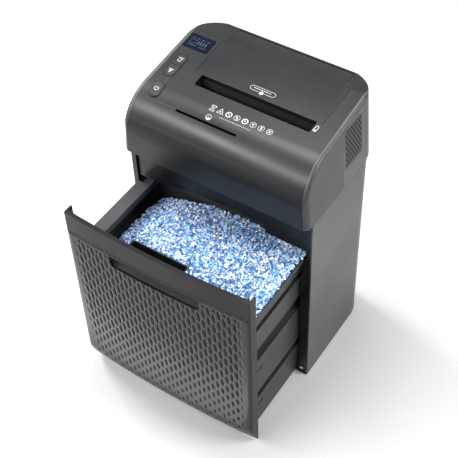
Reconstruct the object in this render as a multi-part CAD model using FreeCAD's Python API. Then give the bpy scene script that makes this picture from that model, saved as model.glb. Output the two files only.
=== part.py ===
import FreeCAD, Part
import math
import os

# A free-standing office paper shredder, in millimetres. +Z is up and the front faces -Y.
# The origin is on the floor, under the middle of the cabinet.
# The waste drawer is modelled pulled out by DRAWER_TRAVEL, which is its rest position.

# Cabinet
HALF_W = 190.0
CAB_FRONT = -116.5
CAB_REAR = 116.5
CAB_BOTTOM = 2.5
BASE_TOP = 5.5
SEAM_Z = 430.0
REAR_R = 62.0
WALL = 3.0
FIT = 0.4

# Head, above the seam
HEAD_BOTTOM = 431.0
HEAD_FRONT = -134.0
HEAD_REAR = 126.0
TOP_HALF_W = 180.0
TOP_Z = 570.0
ROLL_Y = -58.0
ROLL_Z = 476.0
ROLL_R = 76.0
TOP_SLOPE = math.radians(6.8)
RIDGE_Y = 76.0
REAR_SLOPE = 0.1
REAR_EDGE = 4.0
SKIN = 3.0
CHEEK = 9.0
CHEEK_SPLIT_Y = -12.0
EDGE_R = 6.0
FRONT_R = 12.0
PLAN_LEAD = 0.1
HEAD_REAR_R = 65.0
REAR_BAND_Y = 58.0
REAR_BAND_Z = 548.0
VENT_Y = (-6.0, 54.0)
VENT_Z = (466.0, 552.0)

# Feed openings in the head
SLOT_X = (-96.0, 134.0)
SLOT_Y = (-39.0, -13.0)
DISC_X = (-94.0, 28.0)
DISC_Y = -97.0
LID_X = (-111.0, 145.0)
LID_TAIL_X = (-104.0, 130.0)
LID_FRONT = -12.6
LID_THICK = 3.0
HINGE_Y = 116.0
HINGE_Z = 561.8
BARREL_R = 2.7
PIN_R = 1.5

# Controls on the head, as (x, y, width, length), and the display's plan
PILL = (-151.0, -16.0, 20.0, 56.0)
POWER_KEY = (-148.0, -77.0, 20.0, 30.0)
DISPLAY = (-169.0, -118.0, 30.0, 66.0)

# Fittings on the rear of the head
INLET_X = -70.0
SWITCH_X = -104.0
REAR_FITTING_Z = 462.0
ROCKER_AXIS = (123.0, REAR_FITTING_Z)

# Posts beside the drawer and the cross panel between them
PILLAR_X = (168.5, HALF_W - WALL)
PILLAR_DEPTH = 20.0
SCREW_Z = 18.0
APRON_Y = -112.0
APRON_BOTTOM = 354.0
APRON_ARCH_TOP = 374.0

# Drawer
DRAWER_TRAVEL = 171.0
PANEL_TOP = 426.0
PANEL_BOTTOM = 6.0
PANEL_HALF_W = 187.0
PANEL_BACK = -117.0
PANEL_FRONT = -143.5
PANEL_SAG = 7.5
BAND_BOTTOM = 381.0
HANDLE_HALF_W = 92.0
HANDLE_TOP = 377.0
HANDLE_BOTTOM = 351.0
BIN_HALF_W = 167.0
BIN_FRONT = -114.0
BIN_REAR = 92.0
BIN_BOTTOM = 6.5
RIM_Z = 345.0
RIM_IN = 152.0
RIM_OUT = 178.0
BIN_WALL = 2.5
GROOVES = ((85.0, 104.0), (197.0, 232.0), (283.0, 299.0))
GROOVE_DEPTH = 8.0
DISC_BIN_X = (-99.0, 21.0)
DISC_BIN_Y = (-111.0, -69.0)
RAIL_TOP = RIM_Z - 4.4
CURL_START = 62.0
CURL_BACK = 19.0

# Cutting block: its axes run along X and are given as (y, z)
BLOCK_X = 19.0
PLATE_HALF = 122.0
PLATE_T = 2.5
CUT_FRONT = (-43.0, 470.0)
CUT_REAR = (-11.0, 470.0)
CUTTER_R = 18.0
CUTTER_CORE_R = 9.0
CUTTER_T = 2.3
CUTTER_PITCH = 5.6
CUTTER_COUNT = 41
JOURNAL_R = 6.0
RUNNING = 0.05
FEED_AXIS = (40.0, 505.0)
FEED_R = 17.0
MOTOR_AXIS = (86.0, 474.0)
MOTOR_R = 30.0
TRAY_FLOOR = 521.0

# Gear train
PRESSURE = math.radians(25)
TIMING_M = 1.6
TIMING_TEETH = 20
CARRIER_TEETH = 19
MOTOR_M = 1.25
MIDDLE_M = 1.5
FINAL_M = 2.0
PINION_TEETH = 12
FIRST_TEETH = 48
SECOND_TEETH = 32
FINAL_TEETH = 22
GEAR_T = 6.0
GEAR_GAP = 1.5

V = FreeCAD.Vector
X_AXIS = V(1, 0, 0)
Y_AXIS = V(0, 1, 0)
Z_AXIS = V(0, 0, 1)


# ---------------------------------------------------------------- helpers

def save(name, *shapes):
    """Write one sub-part; several solids make a group of separate pieces."""
    shape = shapes[0] if len(shapes) == 1 else Part.makeCompound(list(shapes))
    shape.exportStep(os.path.join("parts", name + ".step"))


def box(x0, x1, y0, y1, z0, z1):
    return Part.makeBox(x1 - x0, y1 - y0, z1 - z0, V(x0, y0, z0))


def rod_x(x0, x1, axis, radius):
    return Part.makeCylinder(radius, x1 - x0, V(x0, axis[0], axis[1]), X_AXIS)


def rod_y(y0, y1, x, z, radius):
    return Part.makeCylinder(radius, y1 - y0, V(x, y0, z), Y_AXIS)


def rod_z(z0, z1, x, y, radius):
    return Part.makeCylinder(radius, z1 - z0, V(x, y, z0), Z_AXIS)


def outline(corners, place):
    """A closed wire through (u, v, radius) corners, each rounded by its own radius."""
    marks = []
    count = len(corners)
    for i, (u, v, radius) in enumerate(corners):
        here = V(u, v, 0)
        back = V(*corners[i - 1][:2], 0) - here
        ahead = V(*corners[(i + 1) % count][:2], 0) - here
        back.normalize()
        ahead.normalize()
        if radius == 0:
            marks.append((here, None, here))
            continue
        half = back.getAngle(ahead) / 2
        reach = radius / math.tan(half)
        middle = back + ahead
        middle.normalize()
        crown = here + middle * (radius / math.sin(half) - radius)
        marks.append((here + back * reach, crown, here + ahead * reach))
    edges = []
    for i, (start, crown, end) in enumerate(marks):
        if crown:
            edges.append(Part.Arc(place(start), place(crown), place(end)).toShape())
        following = marks[(i + 1) % count][0]
        if (following - end).Length > 1e-6:
            edges.append(Part.LineSegment(place(end), place(following)).toShape())
    return Part.Wire(edges)


def on_z(z):
    return lambda p: V(p.x, p.y, z)


def on_x(x):
    return lambda p: V(x, p.x, p.y)


def on_y(y):
    return lambda p: V(p.x, y, p.y)


def slab_z(corners, z0, z1):
    return Part.Face(outline(corners, on_z(z0))).extrude(V(0, 0, z1 - z0))


def slab_x(corners, x0, x1):
    return Part.Face(outline(corners, on_x(x0))).extrude(V(x1 - x0, 0, 0))


def slab_y(corners, y0, y1):
    return Part.Face(outline(corners, on_y(y0))).extrude(V(0, y1 - y0, 0))


def rectangle(u0, u1, v0, v1, radius=0.0):
    return [(u0, v0, radius), (u1, v0, radius), (u1, v1, radius), (u0, v1, radius)]


def fuse(shapes):
    return shapes[0].multiFuse(shapes[1:]).removeSplitter()


def mirror_x(shape):
    return shape.mirror(V(0, 0, 0), X_AXIS)


def pulled_out(shape):
    """Move a closed drawer piece to its rest place, drawn forward."""
    return shape.translated(V(0, -DRAWER_TRAVEL, 0))


def top_z(y):
    """Height of the head's outer surface at depth y."""
    tangent = ROLL_Y - ROLL_R * math.sin(TOP_SLOPE)
    if y < tangent:
        return ROLL_Z + math.sqrt(ROLL_R ** 2 - (y - ROLL_Y) ** 2)
    flat = ROLL_Z + ROLL_R * math.cos(TOP_SLOPE)
    rise = flat + (min(y, RIDGE_Y) - tangent) * math.tan(TOP_SLOPE)
    return rise - max(y - RIDGE_Y, 0) * REAR_SLOPE


def top_tilt(y):
    """Slope of that surface, in radians, positive where it rises to the rear."""
    step = 0.01
    return math.atan((top_z(y + step) - top_z(y - step)) / (2 * step))


def on_top(shape, x, y):
    """Seat a shape modelled about its own origin on the head's surface."""
    seated = shape.copy()
    seated.rotate(V(0, 0, 0), X_AXIS, math.degrees(top_tilt(y)))
    seated.translate(V(x, y, top_z(y)))
    return seated


# ---------------------------------------------------------------- cabinet

def cabinet_plan(inset):
    half = HALF_W - inset
    rear = CAB_REAR - inset
    return [(-half, CAB_FRONT, 0), (half, CAB_FRONT, 0),
            (half, rear, REAR_R - inset), (-half, rear, REAR_R - inset)]


def cabinet_shell():
    outer = slab_z(cabinet_plan(0), CAB_BOTTOM, SEAM_Z)
    inner = slab_z(cabinet_plan(WALL), CAB_BOTTOM - 1, SEAM_Z + 1)
    opening = box(WALL - HALF_W, HALF_W - WALL, CAB_FRONT - 1, CAB_FRONT + 1, 0, SEAM_Z + 1)
    return outer.cut(inner).cut(opening)


def base_plate():
    """Flat base that the machine stands on, notched for the two posts."""
    floor = slab_z(cabinet_plan(WALL), 0, BASE_TOP)
    for side in (-1, 1):
        corner = sorted((side * (PILLAR_X[0] - FIT), side * HALF_W))
        notch_back = CAB_FRONT + PILLAR_DEPTH + FIT
        floor = floor.cut(box(*corner, CAB_FRONT - 1, notch_back, CAB_BOTTOM, BASE_TOP + 1))
    return floor


def front_pillar():
    """Post beside the drawer, with an arched foot and a hollow back."""
    deep = CAB_FRONT + PILLAR_DEPTH
    foot = box(*PILLAR_X, CAB_FRONT, deep, CAB_BOTTOM, RAIL_TOP)
    upper = box(180, PILLAR_X[1], CAB_FRONT, deep, CAB_BOTTOM, SEAM_Z + 1)
    hollow = box(PILLAR_X[0] + 2.5, PILLAR_X[1] - 2.5, CAB_FRONT + 2.5, deep + 1, 30, RAIL_TOP - 3)
    middle = sum(PILLAR_X) / 2
    arch = rod_y(CAB_FRONT - 1, deep + 1, middle, CAB_BOTTOM - 6, 11)
    screw_hole = rod_y(CAB_FRONT - 1, deep + 1, middle, SCREW_Z, 2.0)
    return foot.fuse(upper).removeSplitter().cut(hollow).cut(arch).cut(screw_hole)


def pillar_screw():
    """Countersunk-style screw with a cross recess."""
    middle = sum(PILLAR_X) / 2
    head = rod_y(CAB_FRONT - 1.8, CAB_FRONT, middle, SCREW_Z, 3.4)
    shank = rod_y(CAB_FRONT, CAB_FRONT + 14, middle, SCREW_Z, 1.95)
    screw = head.fuse(shank)
    for wide, tall in ((4.2, 0.9), (0.9, 4.2)):
        cross = box(middle - wide / 2, middle + wide / 2, CAB_FRONT - 2, CAB_FRONT - 0.9,
                    SCREW_Z - tall / 2, SCREW_Z + tall / 2)
        screw = screw.cut(cross)
    return screw


def drawer_rail():
    """Ledge inside the cabinet that the bin's rim slides along."""
    ledge = box(PILLAR_X[0], PILLAR_X[1], CAB_FRONT + PILLAR_DEPTH, 52, RAIL_TOP - 14, RAIL_TOP)
    hollow = box(PILLAR_X[0] + 2, PILLAR_X[1] - 2, CAB_FRONT + PILLAR_DEPTH + 2, 50,
                 RAIL_TOP - 15, RAIL_TOP - 2.5)
    return ledge.cut(hollow)


def guide_rib():
    """Rib on the cabinet wall that runs in the bin's middle and lower grooves."""
    low, middle = GROOVES[0], GROOVES[1]
    ribs = []
    for groove in (low, middle):
        ribs.append(box(BIN_HALF_W - 5, PILLAR_X[1], -90, 50, groove[0] + 3, groove[1] - 3))
    web = box(PILLAR_X[0] + 10, PILLAR_X[1], -90, 50, low[0] + 3, middle[1] - 3)
    return fuse(ribs + [web])


def front_apron():
    """Recessed cross panel under the head, with a raised middle over the bin."""
    half = PILLAR_X[1] - 7.4
    plate = box(-half, half, APRON_Y, APRON_Y + 2.5, APRON_BOTTOM, SEAM_Z + 1)
    notch = slab_y([(-105, APRON_BOTTOM - 20, 0), (93, APRON_BOTTOM - 20, 0),
                    (93, APRON_ARCH_TOP, 3), (-105, APRON_ARCH_TOP, 14)],
                   APRON_Y - 1, APRON_Y + 4)
    lip = box(-half, half, APRON_Y + 2.5, APRON_Y + 14, SEAM_Z - 2, SEAM_Z + 1)
    return plate.cut(notch).fuse(lip).removeSplitter()


# ---------------------------------------------------------------- head shell

def head_plan(half, front, rear, front_r, rear_r, z):
    return outline([(-half, front, front_r), (half, front, front_r),
                    (half, rear, rear_r), (-half, rear, rear_r)], on_z(z))


def head_profile(inset):
    """Side outline of the head: upright front, big roll, sloping top, ridge, rear edge."""
    radius = ROLL_R - inset
    tangent = V(0, ROLL_Y - radius * math.sin(TOP_SLOPE), ROLL_Z + radius * math.cos(TOP_SLOPE))
    bisect = (math.pi + math.pi / 2 + TOP_SLOPE) / 2
    crown = V(0, ROLL_Y + radius * math.cos(bisect), ROLL_Z + radius * math.sin(bisect))
    start = V(0, ROLL_Y - radius, ROLL_Z)
    ridge = V(0, RIDGE_Y, top_z(RIDGE_Y) - inset)
    rear = HEAD_REAR - inset
    shoulder = V(0, rear - REAR_EDGE, top_z(rear - REAR_EDGE) - inset)
    corner = V(0, rear, shoulder.z - REAR_EDGE)
    turn = V(0, rear - 0.29 * REAR_EDGE, shoulder.z - 0.29 * REAR_EDGE)
    floor = HEAD_BOTTOM - (1 if inset else 0)
    edges = [Part.LineSegment(V(0, start.y, floor), start).toShape(),
             Part.Arc(start, crown, tangent).toShape(),
             Part.LineSegment(tangent, ridge).toShape(),
             Part.LineSegment(ridge, shoulder).toShape(),
             Part.Arc(shoulder, turn, corner).toShape(),
             Part.LineSegment(corner, V(0, rear, floor)).toShape(),
             Part.LineSegment(V(0, rear, floor), V(0, start.y, floor)).toShape()]
    return Part.Wire(edges)


def head_block(inset):
    """The head as a solid, its sides leaning in toward the top.

    The plan leads the profile by a hair, so that the two fronts cross cleanly at the corners.
    """
    floor = HEAD_BOTTOM - (1 if inset else 0)
    front = HEAD_FRONT + inset - PLAN_LEAD
    rear = HEAD_REAR - inset
    lower = head_plan(HALF_W - inset, front, rear, FRONT_R, HEAD_REAR_R - inset, floor)
    upper = head_plan(TOP_HALF_W - inset, front, rear, FRONT_R, HEAD_REAR_R - inset, TOP_Z)
    taper = Part.makeLoft([lower, upper], True, True)
    face = Part.Face(head_profile(inset))
    face.translate(V(-HALF_W - 5, 0, 0))
    return taper.common(face.extrude(V(2 * HALF_W + 10, 0, 0)))


def head_core(cheek):
    """The wedge between the two side cheeks."""
    far = 200
    lower = outline(rectangle(cheek - HALF_W, HALF_W - cheek, -far, far), on_z(HEAD_BOTTOM - 2))
    upper = outline(rectangle(cheek - TOP_HALF_W, TOP_HALF_W - cheek, -far, far), on_z(TOP_Z + 2))
    return Part.makeLoft([lower, upper], True, True)


def soften(block):
    """Round the long edges where the top meets the leaning sides."""
    picked = []
    for edge in block.Edges:
        reach = edge.BoundBox
        beside = reach.XMin > TOP_HALF_W - 10 or reach.XMax < 10 - TOP_HALF_W
        if beside and reach.ZMin > ROLL_Z - 2 and reach.YMax < RIDGE_Y + 1:
            picked.append(edge)
    return block.makeFillet(EDGE_R, picked)


def head_outer():
    return soften(head_block(0))


def head_shell():
    return head_outer().cut(head_block(SKIN))


def rear_band(grow):
    far = 220
    wall = box(-far, far, REAR_BAND_Y - grow, far, 0, REAR_BAND_Z + grow)
    sides = box(-far, far, CHEEK_SPLIT_Y - grow, far, 0, TOP_Z + 9).cut(head_core(CHEEK + grow))
    return wall.fuse(sides)


def lid_opening():
    """Hole in the top cover for the lid, all round it by one fit."""
    gap = 0.8
    body = slab_z(rectangle(LID_X[0] - gap, LID_X[1] + gap, LID_FRONT - gap, RIDGE_Y + 1, 5), 545, 580)
    tail = slab_z(rectangle(LID_TAIL_X[0] - gap, LID_TAIL_X[1] + gap, RIDGE_Y - 9,
                            HINGE_Y + BARREL_R + gap), 545, 580)
    return body.fuse(tail)


def manual_slot_cut(grow):
    return slab_z(rectangle(SLOT_X[0] - grow, SLOT_X[1] + grow, SLOT_Y[0] - grow, SLOT_Y[1] + grow, 3),
                  540, 575)


def slanted_disc_cut(grow, low, high):
    """Slot for discs, square to the front roll."""
    tall = box(DISC_X[0] - grow, DISC_X[1] + grow, -2.2 - grow, 2.2 + grow, low, high)
    return on_top(tall, 0, DISC_Y)


def stadium(width, length, low, high):
    half_w = width / 2
    return slab_z(rectangle(-half_w, half_w, -length / 2, length / 2, half_w - 0.01), low, high)


def bezel_hole(spec, grow):
    x, y, width, length = spec
    return on_top(stadium(width + 4 + grow, length + 4 + grow, -9, 4), x, y)


def display_plate(grow, low, high):
    x0, x1, y0, y1 = DISPLAY
    half_w = (x1 - x0) / 2 + grow
    half_d = (y1 - y0) / 2 + grow
    plate = slab_z(rectangle(-half_w, half_w, -half_d, half_d, 3), low, high)
    return on_top(plate, (x0 + x1) / 2, (y0 + y1) / 2)


def top_cover():
    cover = head_shell().common(head_core(CHEEK + FIT)).cut(rear_band(FIT))
    for hole in (lid_opening(), manual_slot_cut(0), slanted_disc_cut(0, -12, 9),
                 bezel_hole(PILL, 0.4), bezel_hole(POWER_KEY, 0.4), display_plate(0.3, -9, 4)):
        cover = cover.cut(hole)
    pin_groove = rod_x(LID_TAIL_X[0] - 8, LID_TAIL_X[1] + 8, (HINGE_Y, HINGE_Z), PIN_R + FIT)
    return cover.cut(pin_groove)


def cheek_panel():
    """Right side panel of the head, from the front corner back to its joint."""
    cheek = head_shell().cut(head_core(CHEEK)).cut(rear_band(FIT))
    return cheek.common(box(0, 220, -200, 200, 0, 600))


def vent_opening(grow):
    return box(170, 200, VENT_Y[0] - grow, VENT_Y[1] + grow, VENT_Z[0] - grow, VENT_Z[1] + grow)


def rear_cover():
    cover = head_shell().common(rear_band(0))
    cover = cover.cut(vent_opening(0)).cut(mirror_x(vent_opening(0)))
    cover = cover.cut(rear_hole(INLET_X, 14, 11.5)).cut(rear_hole(SWITCH_X, 8, 11.5))
    return cover


def rear_hole(x, half_w, half_h):
    return box(x - half_w, x + half_w, 105, 140, REAR_FITTING_Z - half_h, REAR_FITTING_Z + half_h)


def vent_grille():
    """Perforated insert: staggered round holes over the whole vent."""
    lean = math.atan((HALF_W - TOP_HALF_W) / (TOP_Z - HEAD_BOTTOM))
    plate = head_shell().common(vent_opening(-0.2))
    pitch = 7.5
    hole_r = 2.2
    holes = []
    rows = int((VENT_Z[1] - VENT_Z[0] - 6) / (pitch * 0.866))
    for row in range(rows):
        shift = pitch / 2 if row % 2 else 0
        z = VENT_Z[0] + 6 + row * pitch * 0.866
        y = VENT_Y[0] + 6 + shift
        while y < VENT_Y[1] - 5:
            holes.append(Part.makeCylinder(hole_r, 40, V(165, y, z), V(math.cos(lean), 0, math.sin(lean))))
            y += pitch
    return plate.cut(Part.makeCompound(holes))


def head_base():
    """Floor of the head, with the throat that the shreds fall through."""
    low = HALF_W - SKIN - FIT
    front = HEAD_FRONT + SKIN + FIT
    rear = HEAD_REAR - SKIN - FIT
    plan = head_plan(low, front, rear, FRONT_R, HEAD_REAR_R - SKIN - FIT, HEAD_BOTTOM)
    floor = Part.Face(plan).extrude(V(0, 0, 3))
    throat = box(BLOCK_X - 112, BLOCK_X + 112, -66, 12, 420, 440)
    return floor.cut(throat)


# ---------------------------------------------------------------- lid and feed bay

def lid_profile():
    """Side outline of the lid: flat top, crease at the ridge, tail to the hinge."""
    rear = HINGE_Y + 0.1
    return [(LID_FRONT, top_z(LID_FRONT), 1.0), (RIDGE_Y, top_z(RIDGE_Y), 0), (rear, top_z(rear), 0),
            (rear, top_z(rear) - LID_THICK, 0), (RIDGE_Y, top_z(RIDGE_Y) - LID_THICK, 0),
            (LID_FRONT, top_z(LID_FRONT) - LID_THICK, 0)]


def lid():
    plate = slab_x(lid_profile(), LID_X[0], LID_X[1])
    body = slab_z([(LID_X[0], LID_FRONT, 5), (LID_X[1], LID_FRONT, 5),
                   (LID_X[1], RIDGE_Y, 4), (LID_X[0], RIDGE_Y, 4)], 540, 580)
    tail = slab_z(rectangle(LID_TAIL_X[0], LID_TAIL_X[1], RIDGE_Y - 8, HINGE_Y + 5), 540, 580)
    plate = plate.common(body.fuse(tail))
    barrel = rod_x(LID_TAIL_X[0], LID_TAIL_X[1], (HINGE_Y, HINGE_Z), BARREL_R)
    shape = plate.fuse(barrel)
    for x0, x1 in ((LID_TAIL_X[0] - 1, LID_TAIL_X[0] + 8), (LID_TAIL_X[1] - 8, LID_TAIL_X[1] + 1)):
        shape = shape.cut(rod_x(x0, x1, (HINGE_Y, HINGE_Z), PIN_R))
    return shape


def hinge_pins():
    return [rod_x(LID_TAIL_X[0] - 6, LID_TAIL_X[0] + 8, (HINGE_Y, HINGE_Z), PIN_R),
            rod_x(LID_TAIL_X[1] - 8, LID_TAIL_X[1] + 6, (HINGE_Y, HINGE_Z), PIN_R)]


def hinge_brackets():
    pieces = []
    for x0, x1 in ((LID_TAIL_X[0] - 7, LID_TAIL_X[0] - 1.2), (LID_TAIL_X[1] + 1.2, LID_TAIL_X[1] + 7)):
        block = box(x0, x1, HINGE_Y - 4, HINGE_Y + 3, HINGE_Z - 6, HINGE_Z + 2.2)
        block = block.common(head_block(SKIN))
        pieces.append(block.cut(rod_x(x0 - 1, x1 + 1, (HINGE_Y, HINGE_Z), PIN_R + RUNNING)))
    return pieces


def press_pads():
    """Soft pads under the lid that hold the stack down on the rollers."""
    pads = []
    for x in ROLLER_X:
        pad = slab_z(rectangle(-11, 11, -14, 14, 3), -LID_THICK - 6, -LID_THICK)
        pads.append(on_top(pad, x, FEED_AXIS[0]))
    return pads


ROLLER_X = tuple(BLOCK_X + offset for offset in (-72.0, 0.0, 72.0))


def feed_tray():
    """Open tray under the lid, with windows for the feed rollers."""
    x0, x1 = LID_X[0] + 4, LID_X[1] - 4
    y0, y1 = LID_FRONT + 3, 106
    outer = box(x0, x1, y0, y1, TRAY_FLOOR - 2, 550)
    inner = slab_z(rectangle(x0 + 2, x1 - 2, y0 + 2, y1 - 2, 4), TRAY_FLOOR, 560)
    tray = outer.cut(inner)
    for x in ROLLER_X:
        window = box(x - 12, x + 12, FEED_AXIS[0] - 13, FEED_AXIS[0] + 13, TRAY_FLOOR - 3, TRAY_FLOOR + 1)
        tray = tray.cut(window)
    return tray


def manual_throat():
    """Funnel from the hand-feed slot down to the cutters."""
    x0, x1 = SLOT_X
    wide = outline(rectangle(x0, x1, SLOT_Y[0], SLOT_Y[1]), on_z(549))
    middle = (CUT_FRONT[0] + CUT_REAR[0]) / 2
    narrow = outline(rectangle(x0, x1, middle - 3.5, middle + 3.5), on_z(528))
    wide_out = outline(rectangle(x0 - 2, x1 + 2, SLOT_Y[0] - 2, SLOT_Y[1] + 2), on_z(549))
    narrow_out = outline(rectangle(x0 - 2, x1 + 2, middle - 5.5, middle + 5.5), on_z(528))
    outer = Part.makeLoft([narrow_out, wide_out], True, True)
    inner = Part.makeLoft([narrow, wide], True, True)
    chute = box(x0 - 2, x1 + 2, middle - 5.5, middle + 5.5, 494, 528)
    chute = chute.cut(box(x0, x1, middle - 3.5, middle + 3.5, 493, 529))
    return outer.cut(inner).fuse(chute).removeSplitter()


def disc_throat():
    """Flat chute for discs, leaning back from the front roll toward the cutters."""
    outer = slanted_disc_cut(2, -46, -3.2)
    return outer.cut(slanted_disc_cut(0, -47, -2))


# ---------------------------------------------------------------- display and keys

def key_bezel(spec):
    x, y, width, length = spec
    ring = stadium(width + 4, length + 4, -3, 0.5).cut(stadium(width + 0.8, length + 0.8, -4, 2))
    return on_top(ring, x, y)


def half_pill(rear):
    """One of the two keys that share the long bezel."""
    _, _, width, length = PILL
    pill = stadium(width, length, -3, 0.8)
    keep = box(-30, 30, 0.5, 60, -9, 9) if rear else box(-30, 30, -60, -0.5, -9, 9)
    return on_top(pill.common(keep), PILL[0], PILL[1])


def power_key():
    x, y, width, length = POWER_KEY
    return on_top(stadium(width, length, -3, 0.8), x, y)


def display_module():
    x0, x1, y0, y1 = DISPLAY
    frame = box(-20, 20, -14, 14, -12, -3.6)
    return on_top(frame, (x0 + x1) / 2, (y0 + y1) / 2)


def control_board():
    """Circuit board that sits under the keys, with its switches and chip."""
    board = box(-24, 24, -58, 62, -10.6, -9)
    pieces = [board]
    for y in (-46, -14, 14):
        pieces.append(box(-4, 4, y - 4, y + 4, -9, -6.2))
    pieces.append(box(6, 18, -34, -24, -9, -7.5))
    pieces.append(box(-20, -6, 40, 58, -9, -6.5))
    return on_top(fuse(pieces), -148, -22)


def power_board():
    """Mains board flat on the head's floor, with transformer, relay and capacitor."""
    pieces = [box(-176, -112, -40, 44, 436, 437.6)]
    pieces.append(box(-172, -138, -34, -6, 437.6, 464))
    pieces.append(box(-134, -118, -34, -14, 437.6, 454))
    pieces.append(rod_z(437.6, 462, -160, 14, 9))
    pieces.append(box(-136, -120, 4, 36, 437.6, 450))
    for x in (-173, -115):
        for y in (-37, 41):
            pieces.append(rod_z(434, 436, x, y, 2.5))
    return fuse(pieces)


# ---------------------------------------------------------------- gears

def gear_outline(teeth, module, phase, x):
    """Involute teeth in the YZ plane, a tooth centred at the phase angle."""
    pitch_r = teeth * module / 2
    base_r = pitch_r * math.cos(PRESSURE)
    tip_r = pitch_r + 0.8 * module
    root_r = pitch_r - 1.05 * module
    low_r = max(base_r, root_r)
    half = math.pi / 2 / teeth * 0.90
    roll = math.tan(PRESSURE) - PRESSURE
    flare = 0.08 * math.pi / teeth

    def flank(radius):
        turn = math.acos(min(1, base_r / radius))
        return half + roll - (math.tan(turn) - turn)

    steps = 3
    heights = [low_r + (tip_r - low_r) * i / steps for i in range(steps + 1)]
    points = []
    for k in range(teeth):
        middle = phase + 2 * math.pi * k / teeth
        rise = [(r, middle - flank(r)) for r in heights]
        fall = [(r, middle + flank(r)) for r in reversed(heights)]
        foot_in = (root_r, middle - flank(low_r) - flare)
        foot_out = (root_r, middle + flank(low_r) + flare)
        points += [foot_in] + rise + fall + [foot_out]
    return [V(x, r * math.cos(a), r * math.sin(a)) for r, a in points]


def gear(axis, teeth, module, phase, x0, x1):
    points = gear_outline(teeth, module, phase, x0)
    wire = Part.makePolygon(points + points[:1])
    wheel = Part.Face(wire).extrude(V(x1 - x0, 0, 0))
    wheel.translate(V(0, axis[0], axis[1]))
    return wheel


def mesh_phase(axis, teeth, phase, other_axis, other_teeth):
    """Phase that puts a gap of the other gear over the tooth facing it."""
    toward = math.atan2(other_axis[1] - axis[1], other_axis[0] - axis[0])
    own = (toward - phase) * teeth / (2 * math.pi)
    return toward + math.pi - (0.5 - own) * 2 * math.pi / other_teeth


def beyond(axis, distance, angle):
    return (axis[0] + distance * math.cos(angle), axis[1] + distance * math.sin(angle))


def across(start, end, from_start, from_end):
    """The point above the line start-end at the two given distances."""
    gap = math.dist(start, end)
    along = (gap ** 2 + from_start ** 2 - from_end ** 2) / (2 * gap)
    side = math.sqrt(from_start ** 2 - along ** 2)
    unit = ((end[0] - start[0]) / gap, (end[1] - start[1]) / gap)
    return (start[0] + unit[0] * along - unit[1] * side, start[1] + unit[1] * along + unit[0] * side)


PLATE_R = BLOCK_X + PLATE_HALF
PLATE_L = BLOCK_X - PLATE_HALF
STAGE = [PLATE_R + PLATE_T + 3 + i * (GEAR_T + GEAR_GAP) for i in range(3)]
TIMING_X = PLATE_L - PLATE_T - 3 - GEAR_T

FIRST_GAP = (PINION_TEETH + FIRST_TEETH) * MOTOR_M / 2
SECOND_GAP = (PINION_TEETH + SECOND_TEETH) * MIDDLE_M / 2
FINAL_GAP = (PINION_TEETH + FINAL_TEETH) * FINAL_M / 2
FIRST_AXIS = beyond(MOTOR_AXIS, FIRST_GAP, math.radians(170))
SECOND_AXIS = across(FIRST_AXIS, CUT_REAR, SECOND_GAP, FINAL_GAP)
CARRIER_GAP = (TIMING_TEETH + CARRIER_TEETH) * TIMING_M / 2
CARRIER_AXIS = across(CUT_REAR, FEED_AXIS, CARRIER_GAP, CARRIER_GAP)

TIMING_REAR_PHASE = 0.0
TIMING_FRONT_PHASE = mesh_phase(CUT_REAR, TIMING_TEETH, TIMING_REAR_PHASE, CUT_FRONT, TIMING_TEETH)
CARRIER_PHASE = mesh_phase(CUT_REAR, TIMING_TEETH, TIMING_REAR_PHASE, CARRIER_AXIS, CARRIER_TEETH)
FEED_PHASE = mesh_phase(CARRIER_AXIS, CARRIER_TEETH, CARRIER_PHASE, FEED_AXIS, TIMING_TEETH)
FINAL_PHASE = 0.0
THIRD_PHASE = mesh_phase(CUT_REAR, FINAL_TEETH, FINAL_PHASE, SECOND_AXIS, PINION_TEETH)
SECOND_PHASE = 0.0
SECOND_PINION_PHASE = mesh_phase(SECOND_AXIS, SECOND_TEETH, SECOND_PHASE, FIRST_AXIS, PINION_TEETH)
FIRST_PHASE = 0.0
MOTOR_PHASE = mesh_phase(FIRST_AXIS, FIRST_TEETH, FIRST_PHASE, MOTOR_AXIS, PINION_TEETH)


# ---------------------------------------------------------------- cutting block

def side_plate(x0, rear):
    """Steel plate that carries the shafts."""
    foot_z = HEAD_BOTTOM + 3
    plate = slab_x([(-66, foot_z, 4), (rear, foot_z, 4), (rear, 500, 10), (62, 516, 10), (-66, 516, 10)],
                   x0, x0 + PLATE_T)
    for axis in (CUT_FRONT, CUT_REAR):
        plate = plate.cut(rod_x(x0 - 1, x0 + 9, axis, JOURNAL_R + 3))
    plate = plate.cut(rod_x(x0 - 1, x0 + 9, FEED_AXIS, 6.5))
    return plate


def right_plate():
    """The plate on the motor's side, long enough to hold it."""
    return side_plate(PLATE_R, 112).cut(rod_x(PLATE_R - 1, PLATE_R + 9, MOTOR_AXIS, 9))


def left_plate():
    return side_plate(PLATE_L - PLATE_T, 80)


def shaft_bush(axis, plate_x, shaft_r, wall):
    bush = rod_x(plate_x - 1.5, plate_x + PLATE_T + 1.5, axis, shaft_r + wall)
    flange_lift = 1.5
    flange = rod_x(plate_x - flange_lift, plate_x, axis, shaft_r + wall + 1.5)
    return bush.fuse(flange).cut(rod_x(plate_x - 4, plate_x + 9, axis, shaft_r + RUNNING))


def bushes():
    found = []
    for plate_x in (PLATE_L - PLATE_T, PLATE_R):
        for axis in (CUT_FRONT, CUT_REAR):
            found.append(shaft_bush(axis, plate_x, JOURNAL_R, 3))
        found.append(shaft_bush(FEED_AXIS, plate_x, 3.5, 3))
    return found


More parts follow.
